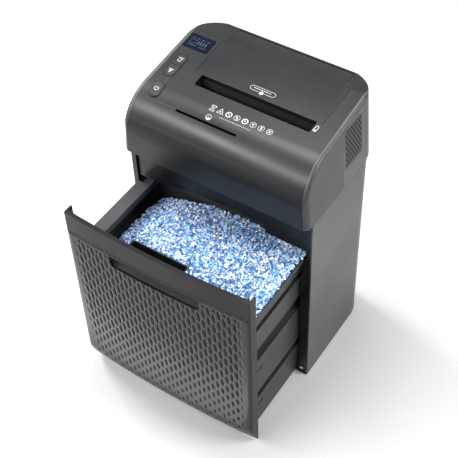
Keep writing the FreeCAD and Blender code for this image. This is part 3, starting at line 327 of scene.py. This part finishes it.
def ink(name, colour, roughness=0.55):
    """Screen-printed mark: slightly uneven ink."""
    material, tree, shader = nodes_of(name)
    space = texture_space(tree)
    uneven = noise_node(tree, space, 900.0, 3.0)
    tree.links.new(ramp(tree, uneven, [(0.3, tuple(c * 0.85 for c in colour)), (0.7, colour)]),
                   shader.inputs["Base Color"])
    tree.links.new(to_range(tree, uneven, roughness - 0.08, roughness + 0.1), shader.inputs["Roughness"])
    bump(tree, shader, uneven, 0.05, 0.0002)
    return material


def confetti_material(name, darken):
    """Each loose piece takes one of the paper's blues, lilac or white."""
    material, tree, shader = nodes_of(name)
    geometry = tree.nodes.new("ShaderNodeNewGeometry")
    tints = [(0.0, (0.60, 0.72, 0.88)), (0.20, (0.22, 0.45, 0.76)), (0.36, (0.05, 0.21, 0.48)),
             (0.50, (0.44, 0.52, 0.80)), (0.60, (0.86, 0.89, 0.95)), (0.74, (0.08, 0.32, 0.66)),
             (0.87, (0.015, 0.08, 0.26))]
    tints = [(p, tuple(c * darken for c in colour)) for p, colour in tints]
    picked = ramp(tree, geometry.outputs["Random Per Island"], tints, "CONSTANT")
    space = texture_space(tree)
    fibre = noise_node(tree, space, 1500.0, 3.0)
    toned = mixed(tree, to_range(tree, fibre, 0.0, 0.14), picked, (0.45, 0.55, 0.75))
    tree.links.new(toned, shader.inputs["Base Color"])
    tree.links.new(to_range(tree, fibre, 0.7, 0.9), shader.inputs["Roughness"])
    shader.inputs["Specular IOR Level"].default_value = 0.25
    bump(tree, shader, fibre, 0.2, 0.0003)
    return material


def shaded_heap_core_material(name):
    """The shreds deep in the heap, seen only through gaps: mottled blue and white, painted darker than the
    loose shreds as painted shade beneath them.
    """
    material, tree, shader = nodes_of(name)
    space = texture_space(tree)
    cells = tree.nodes.new("ShaderNodeTexVoronoi")
    cells.inputs["Scale"].default_value = 260.0
    tree.links.new(space, cells.inputs["Vector"])
    split = tree.nodes.new("ShaderNodeSeparateColor")
    tree.links.new(cells.outputs["Color"], split.inputs["Color"])
    # Painted shade: the white and pale blue are the loose shreds' tones at about half brightness.
    picked = ramp(tree, split.outputs["Red"],
                  [(0.0, (0.45, 0.5, 0.6)), (0.35, (0.08, 0.2, 0.45)), (0.6, (0.3, 0.36, 0.5)),
                   (0.8, (0.03, 0.08, 0.25))], "CONSTANT")
    tree.links.new(picked, shader.inputs["Base Color"])
    tree.links.new(to_range(tree, split.outputs["Green"], 0.7, 0.95, 0.0, 1.0), shader.inputs["Roughness"])
    bump(tree, shader, cells.outputs["Distance"], 0.6, 0.002)
    return material


def floor_material(name):
    material, tree, shader = nodes_of(name)
    space = texture_space(tree)
    soft = noise_node(tree, space, 3.0, 2.0)
    tree.links.new(ramp(tree, soft, [(0.3, (0.50, 0.50, 0.50)), (0.7, (0.52, 0.52, 0.52))]),
                   shader.inputs["Base Color"])
    shader.inputs["Emission Color"].default_value = (1, 1, 1, 1)
    shader.inputs["Emission Strength"].default_value = 0.07
    shader.inputs["Roughness"].default_value = 0.9
    shader.inputs["Specular IOR Level"].default_value = 0.1
    return material


SHELL = plastic("shell_plastic", (0.014, 0.0142, 0.015), 0.35, grain=1500, grain_bump=0.2, specular=0.3)
# Painted light: the cabinet, the head's side cheeks and rear cover take the head cover's black plastic
# painted over twice as light, standing in for the side lamp's light on them.
CABINET_LIT_COPY = plastic("cabinet_plastic_lit_copy", (0.034, 0.0345, 0.036), 0.46, grain=1500, grain_bump=0.22)
BAND = plastic("band_plastic", (0.010, 0.010, 0.011), 0.26, grain=1800, grain_bump=0.08, specular=0.12)
# The facing's last colour is painted shade for its moulded hollows.
FACING = pitted_plastic("facing_plastic", (0.009, 0.0091, 0.0097), 0.27, (0.006, 0.006, 0.0065))
GLOSS = plastic("gloss_plastic", (0.006, 0.006, 0.0065), 0.27, grain=300, grain_bump=0.015, spread=0.04,
                specular=0.22)
CUP = plastic("cup_plastic", (0.05, 0.05, 0.052), 0.34, grain=900, grain_bump=0.04)
BIN = plastic("bin_plastic", (0.022, 0.022, 0.023), 0.36, grain=1200, grain_bump=0.06, spread=0.05,
              specular=0.3)
INNER = plastic("inner_plastic", (0.012, 0.012, 0.013), 0.6, grain=900, grain_bump=0.2)
THROAT = plastic("throat_plastic", (0.004, 0.004, 0.0045), 0.7, grain=900, grain_bump=0.1, specular=0.15)
VENT = plastic("vent_plastic", (0.013, 0.013, 0.014), 0.42, grain=1200, grain_bump=0.1, specular=0.3)
# Painted shade: the front pillars take the cabinet's black plastic painted nearly black, standing in for
# the drawer's shadow over their fronts.
POST_SHADED_COPY = plastic("post_plastic_painted_shade", (0.006, 0.006, 0.0065), 0.3, grain=1200, grain_bump=0.05, specular=0.25)
KEY = plastic("key_plastic", (0.017, 0.0172, 0.018), 0.36, grain=1600, grain_bump=0.1, specular=0.28)
TRIM = plastic("trim_plastic", (0.006, 0.006, 0.007), 0.25, grain=900, grain_bump=0.03)
MOTOR = plastic("motor_paint", (0.02, 0.02, 0.022), 0.4, grain=500, grain_bump=0.1)
NYLON = plastic("gear_nylon", (0.62, 0.60, 0.52), 0.45, grain=700, grain_bump=0.06, worn=1.1)
BOARD = plastic("board_laminate", (0.02, 0.13, 0.05), 0.4, grain=500, grain_bump=0.15)
STEEL = metal("plated_steel", (0.62, 0.62, 0.64), 0.3)
CUTTER = metal("cutter_steel", (0.5, 0.5, 0.52), 0.34, stretch=(60.0, 1.0, 1.0))
SCREW = metal("screw_steel", (0.78, 0.78, 0.8), 0.2, stretch=(1.0, 1.0, 1.0), strength=0.04)
BRONZE = metal("bush_bronze", (0.62, 0.45, 0.22), 0.4)
RUBBER = rubber("black_rubber", (0.03, 0.03, 0.032))
SCREEN = glazed_screen("display_glass")
WHITE_INK = ink("white_ink", (0.40, 0.40, 0.41))
GREY_INK = ink("grey_ink", (0.20, 0.20, 0.21))
SEGMENT = ink("display_segment", (0.016, 0.025, 0.06), 0.5)
CONFETTI = confetti_material("paper_shreds", 0.86)
HEAP = shaded_heap_core_material("paper_heap_core")
FLOOR = floor_material("studio_floor")

MATERIAL_OF = {
    SHELL: ("head_top_cover", "lid"),
    CABINET_LIT_COPY: ("cabinet_shell", "head_side_left", "head_side_right", "head_rear_cover"),
    VENT: ("vent_grille_left", "vent_grille_right"),
    POST_SHADED_COPY: ("front_pillar_left", "front_pillar_right"),
    THROAT: ("manual_throat", "feed_tray", "disc_throat"),
    BAND: ("drawer_panel",),
    GLOSS: ("front_apron",),
    CUP: ("handle_cup",),
    BIN: ("waste_bin", "disc_bin"),
    INNER: ("base_plate", "drawer_inner_panel", "drawer_runners_left", "drawer_runners_right",
            "drawer_safety_switch", "head_base", "lid_hinge_brackets", "mains_switch_housing",
            "power_inlet", "stripper_combs"),
    KEY: ("forward_key", "reverse_key", "power_key"),
    TRIM: ("key_bezels", "mains_switch_rocker"),
    MOTOR: ("motor_body",),
    NYLON: ("carrier_gear", "feed_gear", "first_reduction_gear"),
    BOARD: ("control_board", "power_board"),
    STEEL: ("side_plate_left", "side_plate_right", "tie_rods"),
    CUTTER: ("cutter_front", "cutter_rear", "feed_shaft", "final_gear", "gear_axles",
             "lid_hinge_pins", "motor_shaft", "second_reduction_gear", "timing_gear_front",
             "timing_gear_rear"),
    SCREW: ("pillar_screws",),
    BRONZE: ("shaft_bushes",),
    RUBBER: ("feed_rollers", "lid_press_pads"),
    SCREEN: ("display_window",),
}

SOFT_EDGE = {
    "head_top_cover": 0.5, "head_side_left": 0.5, "head_side_right": 0.5, "head_rear_cover": 0.5,
    "lid": 0.5, "cabinet_shell": 0.5, "front_pillar_left": 0.5, "front_pillar_right": 0.5,
    "drawer_panel": 0.7, "front_apron": 0.6, "waste_bin": 0.5, "disc_bin": 0.4,
    "forward_key": 0.35, "reverse_key": 0.35, "power_key": 0.35, "mains_switch_rocker": 0.3,
    "mains_switch_housing": 0.4, "power_inlet": 0.4, "handle_cup": 0.4, "base_plate": 0.3,
}

for material, names in MATERIAL_OF.items():
    for name in names:
        mesh = nodes[name].data
        mesh.materials.clear()
        mesh.materials.append(material)

for name, width in SOFT_EDGE.items():
    node = nodes[name]
    weld = node.modifiers.new("weld", "WELD")
    weld.merge_threshold = 0.00001
    bevel = node.modifiers.new("edge", "BEVEL")
    bevel.width = width * MM
    bevel.segments = 2
    bevel.limit_method = "ANGLE"
    bevel.angle_limit = math.radians(35)
    bevel.use_clamp_overlap = True
    level = node.modifiers.new("normals", "WEIGHTED_NORMAL")
    level.keep_sharp = False


# ---------------------------------------------------------------- drawer facing

FACING_THICK = 1.5


def facing_radius(z):
    """Distance of the facing's face from the drawer front's arc centre at height z."""
    outer = PANEL_ARC_R + FACING_THICK
    if z >= CURL_START:
        return outer
    drop = CURL_START - FACING_LOW
    curl_r = (drop ** 2 + CURL_BACK ** 2) / (2 * CURL_BACK)
    fall = CURL_START - z
    return outer - curl_r + math.sqrt(curl_r ** 2 - fall ** 2)


# Pitch, half size, depth and lean of the moulded hollows
CELL_W, CELL_H = 10.0, 27.0
CELL_HALF_W, CELL_HALF_H = 3.1, 14.0
CELL_DEPTH = 1.5
CELL_SLANT = 0.15

FACING_INSET = 1.6
FACING_CHAMFER = 1.3
FACING_BACK = -1.7
MESH_STEP_X, MESH_STEP_Z = 1.25, 1.8


def relief(x, z):
    """Depth of the staggered, slanting hollows, shrinking to small dots toward the foot."""
    size = min(1.0, max(0.0, (z - 24 + 0.12 * (60 - x)) / 210.0))
    size = 0.26 + 0.74 * size ** 0.85
    edge = min(1.0, max(0.0, (PANEL_HALF_W - 15 - abs(x)) / 6.0))
    edge *= min(1.0, max(0.0, (FACING_HIGH - 4 - z) / 4.0)) * min(1.0, max(0.0, (z - 26) / 8.0))
    column = round(x / CELL_W)
    best = 0.0
    for c in (column - 1, column, column + 1):
        shift = CELL_H / 2 if c % 2 else 0.0
        row = round((z - shift) / CELL_H)
        above = z - shift - row * CELL_H
        du = abs(x - c * CELL_W + CELL_SLANT * above) / (CELL_HALF_W * (0.5 + 0.5 * size))
        dv = above / (CELL_HALF_H * size)
        best = max(best, 1.0 - du ** 1.6 - dv * dv)
    t = min(1.0, best / 0.6)
    return CELL_DEPTH * t * t * (3 - 2 * t) * edge


def border_drop(x, z):
    """How far the facing falls back along its rounded sides and its chamfered top edge."""
    side = max(0.0, abs(x) - (PANEL_HALF_W - 7.5)) / 6.0
    top = max(0.0, z - (FACING_HIGH - FACING_CHAMFER))
    return (FACING_THICK - 0.1) * min(1.0, side) ** 2 + top * 0.9


def handle_inside(x, z):
    """True inside the handle opening: square above, rounded below."""
    half, low, radius = HANDLE_HALF_W, HANDLE_LOW, HANDLE_CORNER_R
    if abs(x) > half or z < low or z > HANDLE_HIGH:
        return False
    du, dv = abs(x) - (half - radius), (low + radius) - z
    return not (du > 0 and dv > 0 and du * du + dv * dv > radius * radius)


def on_facing(x, z, lift):
    radius = facing_radius(z) + lift
    angle = math.asin(x / PANEL_ARC_R)
    return Vector((radius * math.sin(angle), PANEL_CENTRE_Y - radius * math.cos(angle), z))


def lines_between(marks, step):
    """Positions through the given marks, evenly spaced at about one step."""
    found = [marks[0]]
    for a, b in zip(marks, marks[1:]):
        count = max(1, round((b - a) / step))
        found += [a + (b - a) * (i + 1) / count for i in range(count)]
    return found


def build_facing():
    half = PANEL_HALF_W - FACING_INSET
    xs = lines_between([-half, -HANDLE_HALF_W, HANDLE_HALF_W, half], MESH_STEP_X)
    marks = [FACING_LOW, HANDLE_LOW, HANDLE_HIGH, FACING_HIGH - FACING_CHAMFER, FACING_HIGH]
    zs = lines_between(marks, MESH_STEP_Z)
    index = {}
    verts = []
    faces = []

    def vertex(key, point):
        if key not in index:
            index[key] = len(verts)
            verts.append(point)
        return index[key]

    wide, tall = len(xs), len(zs)
    for j in range(tall - 1):
        for i in range(wide - 1):
            middle = ((xs[i] + xs[i + 1]) / 2, (zs[j] + zs[j + 1]) / 2)
            if handle_inside(*middle):
                continue
            corner = []
            for a, b in ((i, j), (i + 1, j), (i + 1, j + 1), (i, j + 1)):
                drop = relief(xs[a], zs[b]) + border_drop(xs[a], zs[b])
                corner.append(vertex((a, b, 0), on_facing(xs[a], zs[b], -drop)))
            faces.append(tuple(corner))
    top_row = [vertex((i, tall - 1, 0), None) for i in range(wide)]
    back_row = [vertex((i, tall - 1, 1), on_facing(xs[i], zs[-1], FACING_BACK)) for i in range(wide)]
    for i in range(wide - 1):
        faces.append((top_row[i], top_row[i + 1], back_row[i + 1], back_row[i]))
    for side in (0, wide - 1):
        back = [vertex((side, j, 1), on_facing(xs[side], zs[j], FACING_BACK)) for j in range(tall)]
        front = [vertex((side, j, 0), None) for j in range(tall)]
        for j in range(tall - 1):
            quad = (front[j], front[j + 1], back[j + 1], back[j])
            faces.append(quad if side == 0 else quad[::-1])
    low_back = [vertex((i, 0, 1), on_facing(xs[i], zs[0], FACING_BACK)) for i in range(wide)]
    low_front = [vertex((i, 0, 0), None) for i in range(wide)]
    for i in range(wide - 1):
        faces.append((low_front[i], low_back[i], low_back[i + 1], low_front[i + 1]))
    facing = make_object("drawer_facing_relief", verts, faces, FACING, True)
    # The pit attribute holds each vertex's hollow depth, which the facing material turns into painted
    # shade.
    pit = facing.data.attributes.new("pit", "FLOAT", "POINT")
    for (i, j, layer), place in index.items():
        pit.data[place].value = 0.0 if layer else relief(xs[i], zs[j]) / CELL_DEPTH
    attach(facing, "drawer")
    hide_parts("drawer_facing")


def handle_outline(grow):
    """Points round the handle opening, counter-clockwise from the lower left."""
    half, radius = HANDLE_HALF_W + grow, HANDLE_CORNER_R + grow
    low, high = HANDLE_LOW - grow, HANDLE_HIGH + grow
    points = []
    for centre, start in (((-half + radius, low + radius), 180), ((half - radius, low + radius), 270)):
        for k in range(9):
            a = math.radians(start + 90 * k / 8)
            points.append((centre[0] + radius * math.cos(a), centre[1] + radius * math.sin(a)))
    middle = points[8], points[9]
    points[9:9] = [(middle[0][0] + (middle[1][0] - middle[0][0]) * k / 40, low) for k in range(1, 40)]
    points += [(half, high)] + [(half - 2 * half * k / 44, high) for k in range(1, 44)] + [(-half, high)]
    return points


def build_handle_lip():
    """Fine rolled rim round the finger recess."""
    rings = [(0.9, -0.2), (0.7, 0.15), (0.0, 0.25), (-0.6, 0.0), (-0.7, -1.6), (-0.7, -4.2)]
    verts, faces = [], []
    count = len(handle_outline(0))
    for grow, lift in rings:
        verts += [on_facing(x, z, lift) for x, z in handle_outline(grow)]
    for r in range(len(rings) - 1):
        for i in range(count):
            j = (i + 1) % count
            faces.append((r * count + i, (r + 1) * count + i, (r + 1) * count + j, r * count + j))
    lip = make_object("handle_lip", verts, faces, BAND, True)
    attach(lip, "drawer")


# ---------------------------------------------------------------- shredded paper

HEAP_R = 460.0
HEAP_TOP = (55.0, -20.0 - TRAVEL, 351.0)
HEAP_X = (-149.5, 149.5)
HEAP_Y = (-112.0 - TRAVEL, 78.0 - TRAVEL)
POCKET = (23.5, -66.0 - TRAVEL)
FLANGE_X = 174.0
RIM_Z = 345.0
HEAP_LIMIT_Z = 352.5
SHRED_COUNT = 11500


def heap_height(x, y):
    """Top of the loose shreds."""
    away = (x - HEAP_TOP[0]) ** 2 + (y - HEAP_TOP[1]) ** 2
    dome = HEAP_TOP[2] - HEAP_R + math.sqrt(HEAP_R ** 2 - away)
    rough = noise.noise(Vector((x * 0.055, y * 0.055, 1.7))) * 3.2
    rough += noise.noise(Vector((x * 0.016, y * 0.016, 8.1))) * 4.5
    height = dome + rough - 1.0
    if x > 120:
        height = max(height, RIM_Z + 2.2 + noise.noise(Vector((x * 0.1, y * 0.1, 3.3))) * 1.6)
    return min(height, HEAP_LIMIT_Z)


def in_heap(x, y):
    if y < POCKET[1] and x < POCKET[0]:
        return False
    far = FLANGE_X + noise.noise(Vector((y * 0.09, 2.2, 0.4))) * 3.0
    return HEAP_X[0] < x < far and HEAP_Y[0] < y < HEAP_Y[1]


def build_heap_core():
    step = 4.0
    cols = int((FLANGE_X - 4 - HEAP_X[0]) / step)
    rows = int((HEAP_Y[1] - HEAP_Y[0]) / step)
    verts, faces = [], []
    for j in range(rows + 1):
        for i in range(cols + 1):
            x, y = HEAP_X[0] + i * step, HEAP_Y[0] + j * step
            low = 2.6 if x < 150 else 1.2
            verts.append((x, y, heap_height(x, y) - low))
    for j in range(rows):
        for i in range(cols):
            x, y = HEAP_X[0] + (i + 0.5) * step, HEAP_Y[0] + (j + 0.5) * step
            if y < POCKET[1] + 2 and x < POCKET[0] + 2:
                continue
            a = j * (cols + 1) + i
            faces.append((a, a + 1, a + cols + 2, a + cols + 1))
    border = {}
    for face in faces:
        for k in range(4):
            edge = (face[k], face[(k + 1) % 4])
            border[edge] = border.get(edge, 0) + 1
    skirt = {}
    for a, b in [e for e in border if (e[1], e[0]) not in border]:
        for v in (a, b):
            if v not in skirt:
                skirt[v] = len(verts)
                x, y, z = verts[v]
                verts.append((x, y, z - (60.0 if x < 148 else 1.0)))
        faces.append((b, a, skirt[a], skirt[b]))
    core = make_object("paper_heap_core", verts, faces, HEAP, True)
    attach(core, "drawer")


def shred(verts, faces, x, y, z, tilt_up):
    """One curled scrap: two or three small facets bent along its length."""
    length = rng.uniform(3.4, 6.6)
    width = rng.uniform(2.2, 3.9)
    heading = rng.uniform(0, 2 * math.pi)
    pitch = rng.gauss(0, 0.42) * tilt_up
    roll = rng.gauss(0, 0.42) * tilt_up
    curl = rng.uniform(-0.9, 0.9)
    turn = Matrix.Rotation(heading, 3, "Z") @ Matrix.Rotation(pitch, 3, "Y") @ Matrix.Rotation(roll, 3, "X")
    base = len(verts)
    bends = 3
    for k in range(bends + 1):
        t = k / bends - 0.5
        lift = curl * (0.25 - t * t) * length * 0.5
        for side in (-0.5, 0.5):
            p = turn @ Vector((t * length, side * width, lift))
            verts.append((x + p.x, y + p.y, z + p.z))
    for k in range(bends):
        a = base + 2 * k
        faces.append((a, a + 1, a + 3, a + 2))


def build_shreds():
    verts, faces = [], []
    made = 0
    while made < SHRED_COUNT:
        x = rng.uniform(HEAP_X[0] + 2, FLANGE_X + 3)
        y = rng.uniform(HEAP_Y[0] + 2, HEAP_Y[1] - 1)
        if not in_heap(x, y):
            continue
        z = heap_height(x, y) + rng.uniform(-2.4, 1.5)
        shred(verts, faces, x, y, z, 1.0 if x < 150 else 0.5)
        made += 1
    shreds = make_object("paper_shreds_loose", verts, faces, CONFETTI)
    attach(shreds, "drawer")
    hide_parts("shredded_paper")


# ---------------------------------------------------------------- printed marks

PRINT = 0.12
PRINT_LIFT = 0.02
LABEL_X = 18.0
PILL_X, PILL_Y = -151.0, -16.0
POWER_X, POWER_Y = -148.0, -77.0
KEY_LIFT = 0.8


def finish_mark(sheet, name, body, material=None):
    mark = sheet.build(name, material or WHITE_INK)
    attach(mark, body)


def draw_pictograms():
    """Row of eight small use symbols, plain generic shapes."""
    pitch = 16.0
    start = -36.0
    y = -69.0
    for k in range(8):
        sheet = Sheet(head_place(start + k * pitch, y, PRINT_LIFT), PRINT)
        if k == 0:
            sheet.loop([(-4.2, -5.8), (4.2, -5.8), (4.2, 5.8), (-4.2, 5.8)], 1.1)
            for v in (-2.4, 0.0, 2.4):
                sheet.bar((-2.8, v), (2.8, v), 1.0)
        elif k == 1:
            sheet.loop([(-6.2, -4.8), (6.2, -4.8), (0, 6.0)], 0.9)
            sheet.disc(0, -1.2, 1.5)
        elif k == 2:
            sheet.arc(0, 0, 5.0, 1.8)
            sheet.bar((-2.8, 2.8), (2.8, -2.8), 1.2)
        elif k == 4:
            sheet.arc(0, 0, 4.9, 2.0)
            sheet.disc(-0.6, 0.4, 1.6)
        else:
            sheet.arc(0, 0, 5.4, 0.8)
            if k == 3:
                sheet.bar((-3.6, 3.6), (3.6, -3.6), 1.2)
                sheet.bar((0, -3.4), (0, 3.4), 1.4)
            elif k == 5:
                sheet.bar((-2.6, 2.8), (0, 0), 1.4)
                sheet.bar((2.6, 2.8), (0, 0), 1.4)
                sheet.bar((0, 0), (0, -3.6), 1.4)
            elif k == 6:
                sheet.bar((-2.2, 2.4), (2.2, 2.4), 1.6)
                sheet.bar((0, 2.4), (0, -3.6), 2.2)
            else:
                sheet.bar((-2.6, -3.0), (2.6, 3.0), 1.3)
                sheet.bar((-2.6, 3.0), (2.6, -3.0), 1.3)
        finish_mark(sheet, f"use_symbol_{k + 1}", "cabinet")


def draw_dash_row():
    """Row of short plain strokes under the symbols, in place of the printed line."""
    sheet = Sheet(head_place(13.0, -80.5, PRINT_LIFT), PRINT)
    x = -29.0
    step = random.Random(3)
    while x < 33.0:
        size = step.uniform(1.4, 4.4)
        sheet.bar((x, 0), (x + size, 0), 1.5)
        x += size + 1.1
    finish_mark(sheet, "symbol_underline", "cabinet", GREY_INK)


def draw_small_marks():
    ring = Sheet(head_place(-33.0, -87.5, PRINT_LIFT), PRINT)
    ring.arc(0, 0, 5.0, 0.9)
    ring.arc(0, -0.6, 2.9, 2.2, 180, 360)
    ring.disc(0, 0.4, 1.0)
    finish_mark(ring, "disc_symbol", "cabinet")
    leaf = Sheet(head_place(139.6, -27.0, PRINT_LIFT, math.radians(-8)), PRINT)
    leaf.loop([(-2.6, -6.0), (2.6, -6.0), (2.6, 4.2), (0.6, 6.0), (-2.6, 6.0)], 1.3)
    leaf.bar((-2.2, -4.0), (2.2, -4.0), 2.0)
    finish_mark(leaf, "sheet_symbol", "cabinet")


def draw_lid_label():
    """Oval outline with a row of strokes and a dot, on the lid."""
    sheet = Sheet(head_place(LABEL_X, 3.0, PRINT_LIFT), PRINT)
    half, radius = 19.8, 4.9
    sheet.arc(-half, 0, radius, 0.8, 90, 270, 14)
    sheet.arc(half, 0, radius, 0.8, -90, 90, 14)
    sheet.bar((-half, radius), (half, radius), 0.8)
    sheet.bar((-half, -radius), (-4.7, -radius), 0.8)
    sheet.bar((4.7, -radius), (half, -radius), 0.8)
    step = random.Random(5)
    x = -18.0
    while x < 16.6:
        size = step.uniform(1.6, 4.0)
        sheet.bar((x, 0.6), (x + size, 0.6), 1.6)
        x += size + 1.2
    finish_mark(sheet, "lid_label", "lid")
    dot = Sheet(head_place(LABEL_X, -2.6, 0.03), PRINT)
    dot.disc(0, 0, 3.8)
    finish_mark(dot, "lid_label_dot", "lid")


def draw_key_glyphs():
    glyphs = (("reverse_key_glyph", "reverse_key", PILL_X, PILL_Y + 15.0),
              ("forward_key_glyph", "forward_key", PILL_X, PILL_Y - 15.0))
    for name, body, x, y in glyphs:
        sheet = Sheet(head_place(x, y, KEY_LIFT + PRINT_LIFT), PRINT)
        if body == "reverse_key":
            sheet.bar((-4.6, 3.4), (4.6, 3.4), 1.5)
            sheet.arc(0, -2.6, 3.0, 1.2, 130, 400, 20)
            sheet.polygon([(1.2, -0.4), (4.4, -0.4), (2.8, 1.8)])
        else:
            sheet.bar((-4.6, 3.2), (4.6, 3.2), 1.5)
            sheet.bar((-2.8, 0.6), (2.8, 0.6), 1.2)
            sheet.bar((0, -5.2), (0, -1.4), 1.6)
            sheet.polygon([(-2.8, -1.9), (2.8, -1.9), (0, 0.4)])
        finish_mark(sheet, name, body)
    sheet = Sheet(head_place(POWER_X, POWER_Y, KEY_LIFT + PRINT_LIFT), PRINT)
    sheet.arc(-0.2, 0.6, 3.8, 1.1, 120, 420, 24)
    sheet.bar((-0.2, 1.6), (-0.2, 6.2), 1.2)
    sheet.bar((-4.4, -6.4), (4.4, -6.4), 1.4)
    finish_mark(sheet, "power_key_glyph", "power_key")


def draw_display():
    sheet = Sheet(head_place(-143.5, 48.0, 0.13), 0.06)
    for u0, u1, v, wide in ((-20, -14, 9, 1.6), (-10, -4, 9, 1.6), (0, 6, 9, 1.6), (10, 18, 9, 1.6),
                            (-20, -2, -9, 1.4), (4, 18, -9, 1.4)):
        sheet.bar((u0, v), (u1, v), wide)
    sheet.loop([(-19, -4.6), (-7, -4.6), (-7, 4.6), (-19, 4.6)], 0.9)
    for k in range(4):
        sheet.bar((-2 + k * 5.2, -4.4), (-2 + k * 5.2, 4.4), 2.4)
    finish_mark(sheet, "display_segments", "cabinet", SEGMENT)


# ---------------------------------------------------------------- studio

FLOOR_HALF = 6000.0
WORLD_STRENGTH = 0.38

# Camera angles in degrees, its place in metres, its lens in millimetres
CAMERA_AZIMUTH, CAMERA_ELEVATION, CAMERA_ROLL = 33.972, 45.728, -1.534
CAMERA_PLACE = (0.7658, -1.1690, 1.7637)
CAMERA_LENS, CAMERA_SENSOR = 84.92, 36.0
CAMERA_SHIFT = (-0.0349, -0.1004)


def area_light(name, place, target, size, power):
    data = bpy.data.lights.new(name, "AREA")
    data.shape = "RECTANGLE"
    data.size, data.size_y = size
    data.energy = power
    light = bpy.data.objects.new(name, data)
    bpy.context.scene.collection.objects.link(light)
    light.location = place
    away = Vector(place) - Vector(target)
    light.rotation_mode = "QUATERNION"
    light.rotation_quaternion = away.to_track_quat("Z", "Y")
    return light


def build_studio():
    half = FLOOR_HALF
    corners = [(-half, -half, 0), (half, -half, 0), (half, half, 0), (-half, half, 0)]
    floor = make_object("studio_floor_sheet", corners, [(0, 1, 2, 3)], FLOOR)
    world = bpy.data.worlds.new("studio")
    bpy.context.scene.world = world
    world.use_nodes = True
    back = world.node_tree.nodes["Background"]
    back.inputs["Color"].default_value = (1, 1, 1, 1)
    back.inputs["Strength"].default_value = WORLD_STRENGTH
    middle = (0.0, -0.1, 0.4)
    area_light("key_left", (-2.3, 0.3, 1.9), middle, (0.9, 0.9), 100)
    area_light("roll_strip", (-0.56, -1.1, 1.33), (0.0, -0.1, 0.52), (1.4, 0.16), 26)
    area_light("overhead", (-0.2, 0.15, 1.8), (0.05, -0.05, 0.55), (0.6, 0.4), 17)
    area_light("side_right", (2.1, 0.5, 1.8), (0.1, 0.0, 0.45), (1.1, 1.3), 74)
    bounce = area_light("floor_bounce", (-0.2, -0.385, 0.004), (-0.2, -0.385, 1.0), (0.7, 0.09), 0.3)
    bounce.visible_camera = False


def build_camera():
    azimuth, elevation, roll = (
        math.radians(a) for a in (CAMERA_AZIMUTH, CAMERA_ELEVATION, CAMERA_ROLL))
    back = Vector((math.sin(azimuth) * math.cos(elevation), -math.cos(azimuth) * math.cos(elevation),
                   math.sin(elevation)))
    right = (-back).cross(Vector((0, 0, 1))).normalized()
    up = right.cross(-back)
    right_rolled = right * math.cos(roll) + up * math.sin(roll)
    up_rolled = up * math.cos(roll) - right * math.sin(roll)
    data = bpy.data.cameras.new("camera")
    data.sensor_width = CAMERA_SENSOR
    data.lens = CAMERA_LENS
    data.shift_x, data.shift_y = CAMERA_SHIFT
    data.clip_start, data.clip_end = 0.05, 50.0
    camera = bpy.data.objects.new("camera", data)
    bpy.context.scene.collection.objects.link(camera)
    matrix = Matrix((right_rolled, up_rolled, back)).transposed().to_4x4()
    matrix.translation = Vector(CAMERA_PLACE)
    camera.matrix_world = matrix
    bpy.context.scene.camera = camera


build_facing()
build_handle_lip()
build_heap_core()
build_shreds()
draw_pictograms()
draw_dash_row()
draw_small_marks()
draw_lid_label()
draw_key_glyphs()
draw_display()
build_studio()
build_camera()
bpy.context.scene.view_settings.view_transform = "Standard"
